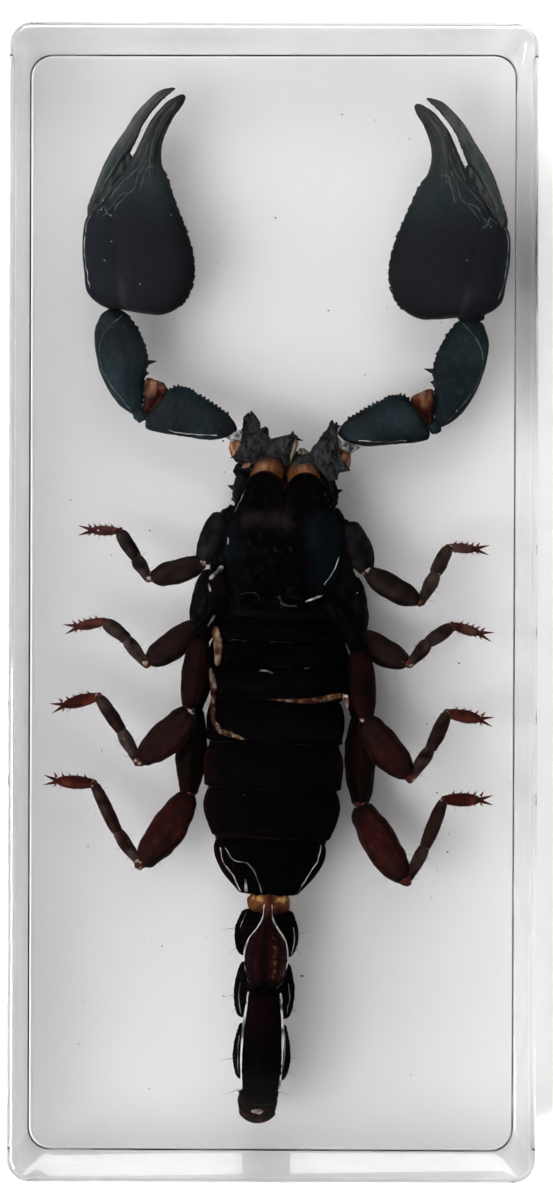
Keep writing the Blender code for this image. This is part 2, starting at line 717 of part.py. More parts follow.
def channel(name, floor, roof, stations, side, cutters):
    """A cutter with upright walls through plan stations, each an inner and an outer edge."""
    rings = []
    for inner, outer in stations:
        a, b = mirrored(inner, side), mirrored(outer, side)
        rings.append(((*a, floor), (*b, floor), (*b, roof), (*a, roof)))
    return loft(name, rings, cutters)


def leg_channels(plan, half_widths, heights, cutters):
    """A box round each segment of a leg. The last runs on past the toe claws."""
    joints = leg_joints(plan, heights)
    thigh, long_part, shin, foot = half_widths
    runs = (
        (0, 1, thigh * HIP_SHARE, 0), (1, 2, thigh, 0), (2, 3, long_part, 0),
        (3, 5, shin + SHIN_BEND, 0), (5, 6, foot, TOE_CLAW_LENGTH),
    )
    made = []
    for first, last, half, extra in runs:
        start, end = joints[first], joints[last]
        length = (end - start).length + 2 * (JOINT_OVERLAP + POCKET_GAP) + extra
        middle = (start + end) / 2 + (end - start).normalized() * extra / 2
        turn = (end - start).to_track_quat("Y", "Z").to_matrix().to_4x4()
        wide = 2 * (half + POCKET_GAP)
        shape = bmesh.new()
        size = Matrix.Diagonal((wide, length, wide, 1))
        bmesh.ops.create_cube(shape, size=1.0, matrix=Matrix.Translation(middle) @ turn @ size)
        made.append(add_object("leg_channel", shape, cutters))
    return made


def pocket_channels(cutters):
    """Every cutter of the pocket that the scorpion lies in."""
    made = [channel("body_channel", *BODY_CHANNEL, 1, cutters)]
    made.append(channel("tail_channel", *TAIL_CHANNEL, 1, cutters))
    for side in (-1, 1):
        made += [channel("arm_channel", *arm, side, cutters) for arm in ARM_CHANNELS]
    for leg in LEGS.values():
        made += leg_channels(*leg, cutters)
    return made


def rounded(shape, edges, radius, steps):
    bmesh.ops.bevel(shape, geom=edges, offset=radius, segments=steps, profile=0.5, affect="EDGES")


def block_half(name, low, high, rounded_face, rim_radius, cutters, materials, collection):
    """One half of the block: its sides lean with the draft, and its corners and outer rim are rounded."""
    shape = bmesh.new()
    bmesh.ops.create_cube(shape, size=2.0)
    for vert in shape.verts:
        z = high if vert.co.z > 0 else low
        lean = BLOCK_DRAFT * (1 - z / BLOCK_HEIGHT)
        vert.co = (vert.co.x * (BLOCK_WIDTH / 2 - lean), vert.co.y * (BLOCK_LENGTH / 2 - lean), z)
    upright = [edge for edge in shape.edges if edge.verts[0].co.z != edge.verts[1].co.z]
    rounded(shape, upright, BLOCK_CORNER_RADIUS, BLOCK_CORNER_STEPS)
    rim = [edge for edge in shape.edges if all(abs(vert.co.z - rounded_face) < WELD for vert in edge.verts)]
    rounded(shape, rim, rim_radius, BLOCK_RIM_STEPS)
    half = add_object(name, shape, collection, materials["clear_resin"])
    pocket = half.modifiers.new("pocket", "BOOLEAN")
    pocket.operation = "DIFFERENCE"
    pocket.solver = "EXACT"
    pocket.use_self = True
    pocket.operand_type = "COLLECTION"
    pocket.collection = cutters
    return half


# ---- Assembly ------------------------------------------------------------------------------------


def clear_scene():
    for old in list(bpy.data.objects):
        bpy.data.objects.remove(old)


def new_collection(name):
    collection = bpy.data.collections.new(name)
    bpy.context.scene.collection.children.link(collection)
    return collection


def make_materials():
    made = {}
    for name, (colour, roughness, metallic, alpha) in COLOURS.items():
        material = bpy.data.materials.new(name)
        material.use_nodes = True
        shader = material.node_tree.nodes["Principled BSDF"]
        shader.inputs["Base Color"].default_value = (*colour, 1.0)
        shader.inputs["Roughness"].default_value = roughness
        shader.inputs["Metallic"].default_value = metallic
        shader.inputs["Alpha"].default_value = alpha
        made[name] = material
    return made


def main():
    clear_scene()
    materials = make_materials()
    specimen = new_collection("scorpion_in_resin_block")
    cutters = new_collection("cutters")
    frame = bpy.data.objects.new("specimen_frame", None)
    frame.location = (SPECIMEN_OFFSET * MM, 0, 0)
    frame.rotation_euler = (0, 0, SPECIMEN_TURN)
    specimen.objects.link(frame)

    pieces = build_body(materials, specimen) + build_tail(materials, specimen)
    for side_name, side in (("left", -1), ("right", 1)):
        pieces += build_arm(side_name, side, materials, specimen)
    for name, (plan, half_widths, heights) in LEGS.items():
        pieces.append(build_leg(f"leg_{name}", plan, half_widths, heights, materials, specimen))
    pocket = pocket_channels(cutters)
    for item in pieces + pocket:
        item.parent = frame
    for item in pocket:
        item.hide_render = True
        item.display_type = "WIRE"

    below, above, top = PARTING_HEIGHT - PIECE_GAP / 2, PARTING_HEIGHT + PIECE_GAP / 2, BLOCK_HEIGHT
    block_half("resin_lower", 0.0, below, 0.0, BLOCK_BASE_RADIUS, cutters, materials, specimen)
    block_half("resin_upper", above, top, top, BLOCK_TOP_RADIUS, cutters, materials, specimen)


main()
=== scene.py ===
"""The looks of a dried black forest scorpion cast in a clear resin block.

The scorpion's pieces are drawn in its own frame, in millimetres: X across, to the scorpion's right, Y forward along
its midline, Z the height above the block's base. Each piece is a smooth skin over many fine sections, raised by
ridges, grains and teeth, and takes the place of the plain CAD piece with the same outline.
"""

from math import cos, pi, radians, sin

import bmesh
import bpy
import numpy as np
from mathutils import Matrix, Vector
from mathutils.bvhtree import BVHTree


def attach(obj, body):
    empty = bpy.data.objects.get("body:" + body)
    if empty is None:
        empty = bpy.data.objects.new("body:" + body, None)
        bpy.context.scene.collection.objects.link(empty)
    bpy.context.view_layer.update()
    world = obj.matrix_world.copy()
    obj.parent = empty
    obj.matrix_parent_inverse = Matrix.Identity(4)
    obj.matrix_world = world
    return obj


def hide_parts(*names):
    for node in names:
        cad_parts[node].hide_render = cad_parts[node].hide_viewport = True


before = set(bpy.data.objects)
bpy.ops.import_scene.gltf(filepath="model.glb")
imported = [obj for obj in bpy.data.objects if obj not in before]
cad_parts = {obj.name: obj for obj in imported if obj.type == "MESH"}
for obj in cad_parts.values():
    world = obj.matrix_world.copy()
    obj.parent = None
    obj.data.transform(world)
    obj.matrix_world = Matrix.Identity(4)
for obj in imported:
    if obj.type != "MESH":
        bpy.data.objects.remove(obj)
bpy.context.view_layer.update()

MM = 0.001
DICE = np.random.default_rng(20)
LATTICE = DICE.random((32, 32, 32))

# The block. Its width and length are those of its top before the rim is rounded.
BLOCK_WIDTH = 68.6
BLOCK_LENGTH = 150.2
BLOCK_HEIGHT = 24.0
BLOCK_DRAFT = 2.0
BLOCK_CORNER_RADIUS = 3.0
BLOCK_TOP_RADIUS = 1.2
BLOCK_BASE_RADIUS = 0.4
RESIN_IOR = 1.53
RESIN_TINT = (0.948, 0.945, 0.944, 1.0)
RESIN_DENSITY = 195.0

# The room's light: its strength overhead, and how much it grows towards the right and the head end.
ROOM_LIGHT = 0.80
ROOM_SLOPE = (-0.70, -0.3, 0.0)

# Where the scorpion lies in it.
SPECIMEN_OFFSET = 1.1
SPECIMEN_TURN = radians(-2.2)

CLAW_HEIGHT = 11.2
ARM_HEIGHT = 11.0
ARM_BASE_HEIGHT = 9.4
JAW_HEIGHT = 11.4
COMB_HEIGHT = 5.1
TAIL_HEIGHT = 9.4
TAIL_FOLD_HEIGHT = 15.9
KNEE_HEIGHT = 10.6
SHIN_HEIGHT = 10.2
ANKLE_HEIGHT = 9.6
TOE_HEIGHT = 9.1

# Colours, as linear red, green and blue.
NIGHT = (0.0004, 0.0004, 0.0005)
SLATE = (0.0125, 0.0120, 0.0140)
BLUE_SLATE = (0.0095, 0.0108, 0.0138)
ROUGH_SLATE = (0.0330, 0.0350, 0.0370)
TEAL = (0.016, 0.028, 0.032)
DEEP_TEAL = (0.0024, 0.0060, 0.0085)
PLUM = (0.0024, 0.0008, 0.0014)
SMOKE = (0.042, 0.046, 0.045)
PALE_SMOKE = (0.080, 0.083, 0.080)
SILVER = (0.80, 0.80, 0.79)
DARK_BROWN = (0.0050, 0.0028, 0.0026)
GREY_BROWN = (0.050, 0.036, 0.032)
RED_BROWN = (0.019, 0.0040, 0.0035)
WINE = (0.0070, 0.0009, 0.0018)
RUST = (0.095, 0.022, 0.013)
TAN = (0.23, 0.105, 0.048)
GOLD = (0.42, 0.24, 0.08)
CREAM = (0.62, 0.56, 0.46)
GREENISH = (0.20, 0.21, 0.12)
ROSE = (0.080, 0.036, 0.033)
AMBER = (0.17, 0.055, 0.012)
DARK_AMBER = (0.060, 0.020, 0.007)
PALE_TAN = (0.42, 0.21, 0.11)
TORN_GREY = (0.40, 0.40, 0.38)

# A claw, arm or jaw station is its inner edge (x, y), its outer edge (x, y) and its half thickness.
HAND = (
    ((21.8, 38.9), (25.7, 38.2), 1.9),
    ((19.7, 38.2), (27.2, 39.2), 3.0),
    ((17.3, 38.0), (27.9, 41.2), 4.0),
    ((15.1, 38.9), (28.2, 43.2), 4.5),
    ((13.6, 40.7), (28.5, 45.2), 4.7),
    ((12.9, 43.2), (28.6, 47.4), 4.6),
    ((13.0, 46.2), (28.3, 49.8), 4.4),
    ((13.9, 49.4), (26.8, 52.0), 3.9),
    ((15.0, 52.3), (24.9, 54.2), 3.3),
    ((16.1, 54.9), (23.3, 56.4), 2.7),
    ((17.3, 57.2), (22.1, 58.1), 2.2),
    ((17.7, 59.3), (21.2, 59.8), 1.8),
    ((17.4, 61.2), (20.3, 61.7), 1.5),
    ((16.6, 63.2), (19.1, 63.6), 1.2),
    ((15.6, 64.8), (17.4, 65.3), 0.9),
    ((15.2, 66.0), (15.5, 66.2), 0.4),
)
HAND_TIP = (15.2, 66.2)
FINGER = (
    ((27.1, 50.0), (27.7, 50.1), 1.3),
    ((26.5, 52.0), (27.5, 52.4), 2.1),
    ((25.2, 54.5), (26.7, 55.2), 2.3),
    ((23.7, 56.7), (25.6, 57.8), 2.2),
    ((22.5, 58.6), (24.4, 59.8), 1.9),
    ((21.7, 60.4), (23.3, 61.4), 1.6),
    ((20.8, 62.4), (22.1, 63.3), 1.4),
    ((19.5, 64.2), (20.6, 65.0), 1.1),
    ((18.1, 65.7), (18.9, 66.5), 0.8),
    ((16.6, 66.9), (16.8, 67.0), 0.35),
)
FOREARM = (
    ((19.7, 23.9), (20.6, 24.0), 1.2),
    ((19.2, 25.6), (22.4, 25.5), 2.2),
    ((19.1, 27.6), (23.8, 27.4), 2.8),
    ((19.0, 29.4), (24.8, 29.5), 3.1),
    ((18.7, 31.4), (25.4, 31.5), 3.2),
    ((19.2, 33.6), (25.8, 33.6), 3.0),
    ((20.2, 35.8), (25.8, 35.6), 2.6),
    ((21.3, 37.4), (25.2, 37.3), 2.0),
    ((22.0, 38.5), (24.6, 38.5), 1.2),
)
UPPER_ARM = (
    ((6.5, 22.9), (6.8, 22.0), 0.9),
    ((7.6, 24.2), (8.1, 21.4), 1.7),
    ((9.4, 25.4), (10.2, 21.0), 2.3),
    ((11.6, 26.7), (12.4, 21.2), 2.6),
    ((13.6, 27.8), (14.8, 21.5), 2.7),
    ((15.3, 27.6), (17.0, 21.8), 2.6),
    ((16.5, 26.2), (18.4, 22.2), 2.1),
    ((17.5, 24.9), (19.1, 22.8), 1.4),
)
ELBOW_SKIN = (
    ((16.1, 27.4), (18.7, 28.9), 1.5),
    ((16.9, 26.6), (18.8, 27.4), 1.7),
    ((17.8, 25.5), (18.8, 25.7), 1.3),
    ((18.5, 24.5), (18.9, 24.5), 0.8),
)
SHOULDER = (
    ((4.6, 18.2), (6.4, 18.0), 1.5),
    ((3.8, 19.3), (6.7, 19.1), 2.1),
    ((3.4, 20.9), (6.1, 20.8), 2.3),
    ((3.7, 22.4), (5.7, 22.3), 1.9),
    ((4.6, 23.7), (5.6, 23.7), 1.1),
    ((5.2, 25.0), (5.25, 25.0), 0.2),
)
SHOULDER_TIP = (5.2, 25.0)
ARM_BASE = (
    ((5.9, 12.4), (6.3, 12.4), 0.9),
    ((5.6, 13.8), (6.9, 13.6), 1.7),
    ((5.2, 15.4), (6.8, 15.2), 2.0),
    ((4.9, 17.0), (6.3, 16.9), 1.6),
)
JAW = (
    ((0.2, 11.0), (3.6, 11.0), 1.1),
    ((0.06, 13.4), (4.3, 13.2), 1.3),
    ((0.06, 16.0), (4.7, 15.8), 1.5),
    ((0.06, 18.2), (4.3, 18.0), 2.1),
    ((0.2, 19.9), (3.5, 19.8), 1.8),
    ((0.6, 20.9), (2.9, 20.9), 1.2),
)
SPURS = {  # (foot, point) in plan, by piece
    "forearm": (((19.6, 31.0), (17.5, 31.5)), ((19.4, 29.6), (18.4, 29.8)), ((19.8, 33.2), (18.9, 33.6))),
    "arm_base": (((6.3, 14.8), (7.6, 15.2)), ((6.2, 13.4), (7.1, 13.4))),
}
SPUR_RADIUS = 0.55

# The two arms lie a little differently: a piece's scale about its pivot (x, y), and its shift.
ARM_FIT = {
    ("hand", "left"): (HAND_TIP, (0.95, 1.03), (0.0, 0.0)),
    ("finger", "left"): (HAND_TIP, (0.95, 1.03), (0.0, 0.0)),
    ("forearm", "left"): ((20.0, 23.9), (1.0, 0.95), (0.0, 0.0)),
    ("hand", "right"): (HAND_TIP, (1.0, 1.0), (-0.35, 0.0)),
    ("finger", "right"): (HAND_TIP, (1.0, 1.0), (-0.35, 0.0)),
    ("shoulder", "right"): (SHOULDER_TIP, (1.0, 1.0), (0.6, -0.7)),
    ("jaw", "right"): ((0.0, 11.0), (1.0, 0.92), (0.0, 0.0)),
}
NO_FIT = ((0.0, 0.0), (1.0, 1.0), (0.0, 0.0))
# The left palm is drawn in a little along its inner edge: by how much, at what y and over what length.
PALM_WAIST = (0.95, 53.0, 7.5)

# The carapace: its half width and the height of its crown at each y, from the rear.
CARAPACE_ROWS = (
    (-0.9, 4.6, 14.2),
    (1.0, 6.2, 14.7),
    (3.5, 7.2, 15.2),
    (6.5, 7.7, 15.4),
    (9.5, 7.5, 15.2),
    (12.5, 6.6, 14.9),
    (14.6, 5.7, 14.6),
)
CARAPACE_EDGE_HEIGHT = 12.1
CARAPACE_THICKNESS = 0.6
CARAPACE_SHOULDER = 3.0
CARAPACE_LOBE_REACH = 2.6
CARAPACE_LOBE_START = 3.5
CARAPACE_LOBE_ONSET = 3
CARAPACE_LOBE_PLACE = 0.9
CARAPACE_LOBE_FULLNESS = 0.6
MIDDLE_EYES = ((-0.95, 7.0), (0.95, 7.1))
SIDE_EYES = ((5.15, 14.4, 13.1, 0.3), (5.6, 13.6, 12.9, 0.26), (5.95, 12.9, 12.8, 0.22))  # x, y, z, radius

CHEST = (  # y, half width, lowest, highest
    (-0.7, 3.2, 8.2, 11.6),
    (1.5, 4.8, 7.4, 12.4),
    (5.0, 5.8, 6.9, 12.9),
    (9.0, 5.4, 7.0, 12.6),
    (10.5, 3.6, 7.6, 11.4),
)

RING_JOINTS = (-1.6, -4.7, -8.0, -12.5, -18.2, -24.2, -30.7, -38.6)
RING_BACKS = (14.0, 14.4, 14.7, 14.9, 15.0, 14.8, 14.2, 12.2)
RING_BELLIES = (8.6, 8.2, 7.8, 7.2, 6.6, 6.5, 6.9, 7.6)
RING_WIDTHS = (  # (share of its length, half width)
    ((0.0, 6.0), (0.3, 7.3), (0.75, 7.5), (1.0, 7.5)),
    ((0.0, 7.4), (0.3, 8.2), (0.75, 8.3), (1.0, 8.2)),
    ((0.0, 8.0), (0.3, 8.6), (0.75, 8.7), (1.0, 8.6)),
    ((0.0, 8.3), (0.3, 9.0), (0.75, 9.0), (1.0, 8.8)),
    ((0.0, 8.3), (0.3, 9.1), (0.75, 9.1), (1.0, 8.9)),
    ((0.0, 8.4), (0.3, 9.0), (0.75, 8.4), (1.0, 7.6)),
    ((0.0, 7.0), (0.2, 7.4), (0.6, 6.3), (1.0, 3.6)),
)
RING_TUCK = 0.6
RING_LAP = 0.3
RING_FULLNESS = 0.8
PIECE_GAP = 0.3
CRAG_STEPS = 7
CRAG_DEPTH = 2.2

COMB = (((0.9, -2.4), 0.35), ((3.0, -3.4), 0.7), ((5.6, -4.4), 0.6), ((7.4, -5.0), 0.25))  # (x, y), half width
COMB_FLATNESS = 0.5
COMB_TEETH = 14

TAIL_SEGMENTS = {  # front y, rear y, half width at the ends, at the widest, half height
    1: (-40.3, -46.8, 3.0, 4.0, 2.8),
    2: (-47.2, -54.9, 3.0, 3.8, 2.75),
    3: (-55.3, -63.0, 2.8, 3.6, 2.7),
    5: (-51.2, -65.6, 1.9, 2.45, 2.1),
}
TAIL_SWELL = ((0.0, 0.0), (0.16, 0.5), (0.4, 1.0), (0.82, 0.8), (1.0, 0.1))
TAIL_TURN = ((13.2, 1.5), (12.0, 2.3), (9.8, 2.6), (7.6, 2.3), (6.4, 1.4))  # height, half width
TAIL_TURN_CENTRE = (-0.3, -65.65)
TAIL_TURN_FLATNESS = 0.85
TAIL_ROOT_CENTRE_Y = -39.45
TAIL_ROOT_SIZE = (2.6, 0.5, 1.7)  # half width, half length, half height
TAIL_ROOT_LUMPS = (  # centre and half sizes
    ((-0.9, -39.4, 11.1), (1.7, 1.5, 0.8)), ((1.3, -39.4, 11.1), (1.65, 1.5, 0.75)),
    ((0.2, -39.8, 11.2), (2.0, 1.3, 0.7)),
)
STINGER = (  # y, half width, height of its middle, half height
    (-50.8, 0.9, 15.9, 0.9),
    (-50.0, 1.9, 15.9, 1.7),
    (-48.2, 2.6, 16.0, 2.3),
    (-46.2, 2.8, 16.1, 2.5),
    (-44.2, 2.4, 16.1, 2.2),
    (-42.6, 1.4, 16.0, 1.4),
    (-41.4, 0.7, 16.1, 0.8),
    (-39.8, 0.5, 16.5, 0.5),
    (-38.6, 0.3, 17.1, 0.3),
    (-37.8, 0.05, 17.7, 0.05),
)

# Legs, front to rear: the plan points of hip, thigh top, thigh end, knee, shin end, ankle and toe, then the half
# widths of thigh, long knee segment, shin and foot, then the heights of the hip and of the thigh.
FRONT_LEG = (1.55, 1.65, 1.1, 0.65)
SECOND_LEG = (1.6, 1.85, 1.1, 0.7)
THIRD_LEG = (1.65, 2.25, 1.1, 0.85)
LAST_LEG = (1.8, 2.3, 1.05, 0.9)
FRONT_LEGS = ("leg_left_1", "leg_left_2", "leg_left_3")
LEGS = {
    "left_1": (
        ((-6.8, 10.6), (-8.2, 11.0), (-10.5, 4.8), (-17.4, 2.5), (-19.3, 5.3), (-21.6, 8.6), (-25.3, 8.5)),
        FRONT_LEG, (9.4, 10.4),
    ),
    "left_2": (
        ((-7.0, 5.4), (-9.1, 3.5), (-10.9, -3.4), (-17.3, -8.7), (-20.1, -5.5), (-23.0, -3.4), (-26.7, -4.3)),
        SECOND_LEG, (8.6, 8.8),
    ),
    "left_3": (
        ((-7.2, 0.0), (-10.4, -5.4), (-11.2, -14.9), (-17.7, -21.7), (-20.3, -17.5), (-23.4, -13.3), (-28.0, -14.7)),
        THIRD_LEG, (10.4, 12.2),
    ),
    "left_4": (
        ((-5.6, -0.2), (-11.0, -14.6), (-11.0, -26.0), (-16.9, -35.3), (-20.3, -30.8), (-23.5, -24.8), (-28.5, -24.7)),
        LAST_LEG, (6.6, 7.8),
    ),
    "right_1": (
        ((6.8, 10.2), (8.7, 10.5), (11.4, 4.4), (18.4, 0.8), (20.3, 4.9), (21.7, 8.2), (25.5, 8.1)),
        FRONT_LEG, (9.4, 10.4),
    ),
    "right_2": (
        ((7.0, 5.2), (9.1, 3.4), (10.6, -4.0), (17.2, -7.4), (19.7, -4.3), (22.8, -2.1), (26.5, -3.0)),
        SECOND_LEG, (8.6, 8.8),
    ),
    "right_3": (
        ((7.6, -0.4), (10.7, -6.0), (11.7, -15.0), (18.0, -22.3), (20.6, -18.2), (22.5, -13.6), (27.0, -14.3)),
        THIRD_LEG, (10.4, 12.2),
    ),
    "right_4": (
        ((5.6, -0.2), (11.3, -14.8), (11.7, -26.5), (18.0, -36.0), (20.4, -31.1), (22.6, -25.0), (27.4, -24.9)),
        LAST_LEG, (6.6, 7.8),
    ),
}
LEG_REDNESS = {"1": 0.1, "2": 0.35, "3": 0.9, "4": 1.0}
HIP_PROFILE = ((0.0, 0.6), (0.5, 0.68), (1.0, 0.7))
THIGH_PROFILE = ((0.0, 0.6), (0.25, 0.95), (0.7, 0.95), (1.0, 0.5))
LONG_PROFILE = ((0.0, 0.5), (0.2, 0.85), (0.5, 1.0), (0.8, 0.82), (1.0, 0.4))
SHIN_PROFILE = ((0.0, 0.45), (0.35, 0.66), (0.75, 0.84), (1.0, 0.62))
ANKLE_PROFILE = ((0.0, 0.66), (0.4, 0.86), (0.8, 0.78), (1.0, 0.58))
FOOT_PROFILE = ((0.0, 0.5), (0.35, 0.9), (0.7, 0.95), (1.0, 0.5))
JOINT_OVERLAP = 0.5
TOE_CLAW_LENGTH = 2.1
TOE_CLAW_RADIUS = 0.3
TOE_CLAW_SPREAD = radians(21)
FOOT_TEETH = (0.2, 0.4, 0.6, 0.8, 1.0)

# Thin films of air where the resin has come away from the shell, as plan lines with their half width.
ARM_FILMS = {  # drawn on the right arm and mirrored
    "hand": (
        (((27.6, 50.2), (28.05, 49.2), (28.15, 47.4), (28.05, 44.8), (27.6, 42.4), (27.1, 40.8)), 0.055),
    ),
    "forearm": (
        (((22.2, 37.6), (24.3, 35.2), (25.1, 33.0), (24.6, 30.0), (22.6, 26.8), (20.7, 24.6)), 0.05),
    ),
    "upper_arm": (
        (((15.6, 22.0), (13.4, 21.7), (11.2, 21.6), (9.2, 21.6)), 0.09),
    ),
}
ARM_SILVER = {"hand": SILVER, "forearm": (0.20, 0.21, 0.20), "upper_arm": SILVER}
ARM_WRINKLES = {  # pale ridges where the two fingers part
    "hand": (
        ((25.1, 52.3), (23.6, 54.2), (22.2, 55.5), (21.0, 56.9), (20.4, 58.3), (20.0, 59.8)),
        ((26.3, 51.5), (25.5, 52.9), (24.4, 54.3), (23.2, 55.4)),
        ((26.6, 50.6), (25.6, 51.3), (25.3, 50.4), (24.6, 50.0)),
        ((21.0, 53.1), (20.7, 54.1), (20.3, 55.5), (19.9, 56.5), (18.9, 56.7)),
        ((25.9, 50.0), (24.6, 51.4), (23.9, 52.6), (22.6, 53.2)),
        ((24.2, 50.9), (23.1, 52.4), (21.6, 53.8), (21.2, 55.4), (20.2, 57.4)),
    ),
    "finger": (
        ((27.4, 51.6), (26.3, 53.4), (25.4, 54.8), (24.5, 56.6), (23.5, 58.6)),
        ((27.7, 52.2), (27.0, 53.6), (26.6, 54.4)),
    ),
}
BODY_FILMS = {  # in the scorpion's own plan, with the half width and how bright the air is
    "carapace": (
        (((3.2, 0.3), (4.3, 0.75), (5.5, 1.25)), 0.26, 1.0),
        (((7.35, 6.4), (7.0, 5.0), (6.35, 3.8), (5.6, 2.6)), 0.07, 0.7),
        (((-6.5, 11.6), (-5.9, 12.9), (-5.45, 14.1)), 0.06, 0.6),
        (((-0.1, 0.9), (0.1, 0.1), (0.9, -0.3), (2.2, -0.4)), 0.15, 0.02),
        (((-5.4, 0.9), (-4.2, 1.2), (-3.0, 0.9), (-2.6, 0.1)), 0.06, 0.01),
        (((-7.2, 8.3), (-7.15, 7.8), (-7.2, 7.4)), 0.10, 1.0),
    ),
    "chest": (
        (((-9.5, 2.7), (-8.6, 3.6), (-7.8, 4.5)), 0.26, 0.8),
        (((-9.5, 2.2), (-9.3, 1.6), (-9.2, 1.1)), 0.14, 0.7),
        (((-9.3, -3.4), (-8.9, -2.7), (-8.5, -2.0)), 0.16, 0.6),
    ),
    "abdomen_ring_2": (
        (((-6.6, -5.3), (-5.4, -5.1), (-4.1, -5.3)), 0.06, 0.12),
        (((-1.2, -5.2), (0.4, -5.1), (1.6, -5.3)), 0.05, 0.12),
    ),
    "abdomen_ring_3": (
        (((-2.4, -9.0), (-1.5, -9.0), (-0.6, -9.3)), 0.17, 0.45),
        (((-3.7, -8.35), (-2.7, -8.3), (-1.7, -8.35)), 0.05, 0.25),
        (((-0.6, -8.35), (0.6, -8.3), (1.7, -8.35)), 0.06, 0.3),
        (((3.4, -8.4), (4.1, -8.35), (4.7, -8.3)), 0.09, 0.4),
    ),
    "abdomen_ring_7": (
        (((-6.6, -32.4), (-6.2, -34.0), (-4.9, -35.7), (-3.7, -38.0)), 0.08, 0.9),
        (((-5.9, -32.4), (-4.7, -33.9), (-2.8, -34.3), (-1.9, -35.6), (-1.2, -37.0), (-0.9, -38.1)), 0.07, 0.45),
        (((6.6, -31.6), (6.4, -33.1), (5.6, -34.8), (4.7, -36.3), (3.8, -38.0)), 0.09, 0.9),
        (((-3.0, -36.4), (-2.9, -37.4), (-2.8, -38.2)), 0.17, 0.8),
    ),
    "tail_segment_1": (
        (((-3.5, -42.8), (-3.2, -41.8), (-2.7, -41.1)), 0.07, 0.5),
        (((3.5, -42.6), (3.6, -44.6), (3.3, -46.2)), 0.08, 0.9),
    ),
    "tail_segment_2": (
        (((-3.2, -50.2), (-3.3, -52.2), (-3.0, -54.2)), 0.08, 0.5),
        (((3.1, -50.0), (3.3, -52.2), (3.0, -54.0)), 0.08, 0.5),
    ),
    "tail_segment_3": (
        (((-3.0, -57.1), (-3.1, -59.6), (-2.9, -62.2)), 0.08, 0.5),
        (((3.0, -56.5), (3.0, -59.4), (2.7, -62.2)), 0.08, 0.5),
    ),
}
TAIL_FILMS = (  # along the raised end of the tail: plan line, height and half width
    (
        ((-0.45, -39.4), (-0.55, -40.9), (-1.1, -42.2), (-2.25, -43.9), (-2.75, -45.6), (-2.6, -47.6), (-2.1, -49.2)),
        16.2, 0.13,
    ),
    (
        ((0.45, -39.4), (0.55, -40.9), (1.2, -42.2), (2.3, -43.9), (2.75, -45.8), (2.55, -47.8), (2.0, -49.4)),
        16.2, 0.13,
    ),
    (((-2.2, -52.4), (-2.55, -55.8), (-2.62, -58.3), (-2.6, -60.9), (-2.4, -63.6)), 16.2, 0.17),
    (((2.2, -52.4), (2.55, -55.6), (2.62, -58.1), (2.55, -60.7), (2.35, -63.8)), 16.2, 0.19),
    (((-2.1, -50.9), (-2.2, -51.8), (-2.15, -52.8)), 15.6, 0.12),
    (((2.1, -50.9), (2.2, -51.6), (2.15, -52.6)), 15.6, 0.14),
)

# Where a claw's fingers lie against each other, as a plan line of the right claw.
SLIT = ((26.8, 50.3), (26.8, 51.2), (26.2, 52.4), (25.1, 54.4), (23.5, 56.6), (22.4, 58.4))
KNUCKLE = (27.0, 50.9)
# The crease along the palm: x where y has the last value, and its slope.
PALM_CREASE = (22.6, 0.176, 41.3)
# Rough plates round the mouth and shoulders, in the body's own plan: outline, and the height of its crown.
SHOULDER_CRAGS = {
    "left": (
        (((-5.6, 21.6), (-5.4, 22.3), (-3.6, 22.6), (-2.2, 21.6), (-2.1, 20.1), (-2.8, 18.8), (-4.3, 18.0),
          (-5.9, 18.6), (-7.4, 18.7), (-6.7, 19.3), (-6.2, 20.2)), 14.0),
        (((-5.4, 21.7), (-5.3, 23.6), (-5.9, 24.1), (-5.2, 24.2), (-4.9, 25.1), (-4.2, 24.4), (-3.6, 23.5),
          (-3.5, 22.2), (-4.4, 21.0)), 13.5),
        (((-3.7, 22.1), (-3.5, 22.8), (-2.9, 23.1), (-2.5, 22.8), (-2.4, 21.7), (-2.9, 21.2)), 12.9),
    ),
    "right": (
        (((3.1, 20.0), (3.4, 20.7), (4.3, 21.5), (5.4, 22.0), (6.6, 22.1), (6.8, 20.3), (7.3, 19.0), (8.5, 17.7),
          (6.9, 17.3), (6.8, 16.4), (5.7, 16.2), (4.6, 17.4), (3.4, 18.5)), 14.0),
        (((5.3, 21.5), (5.4, 22.7), (5.7, 23.4), (6.4, 24.1), (6.6, 23.6), (7.1, 23.6), (6.6, 23.1), (6.6, 21.5)), 13.4),
    ),
}
SHOULDER_POINTS = {"left": (), "right": (((4.5, 21.4), (4.25, 22.1)), ((4.9, 21.6), (5.0, 22.2)))}
JAW_CRAGS = {
    "left": (((-2.9, 21.2), (-2.0, 21.5), (-0.3, 22.0), (0.5, 22.2), (0.7, 22.7), (0.9, 22.2), (1.4, 21.9),
              (1.1, 21.2), (0.7, 19.8), (0.4, 18.2), (-0.1, 18.0), (-0.7, 18.5), (-2.4, 18.8), (-3.6, 18.7),
              (-3.6, 20.2)), 13.7),
    "right": (((0.5, 18.2), (0.9, 18.9), (1.5, 19.5), (2.4, 19.8), (3.1, 20.0), (4.2, 19.2), (4.4, 18.2), (3.2, 18.2),
               (2.4, 18.3), (1.5, 18.1), (1.0, 17.6), (0.5, 17.1)), 13.7),
}
JAW_FINGERS = (  # the pale inner finger and the dark one beside it
    (((1.0, 21.7), (1.5, 21.3), (1.4, 20.5), (1.2, 19.8), (0.9, 19.0), (0.5, 18.2), (0.4, 19.5), (0.7, 20.4)), 13.8),
    (((1.2, 19.4), (1.3, 19.9), (1.6, 20.4), (2.3, 20.4), (3.2, 19.7), (2.4, 19.3), (1.8, 19.2)), 13.2),
)
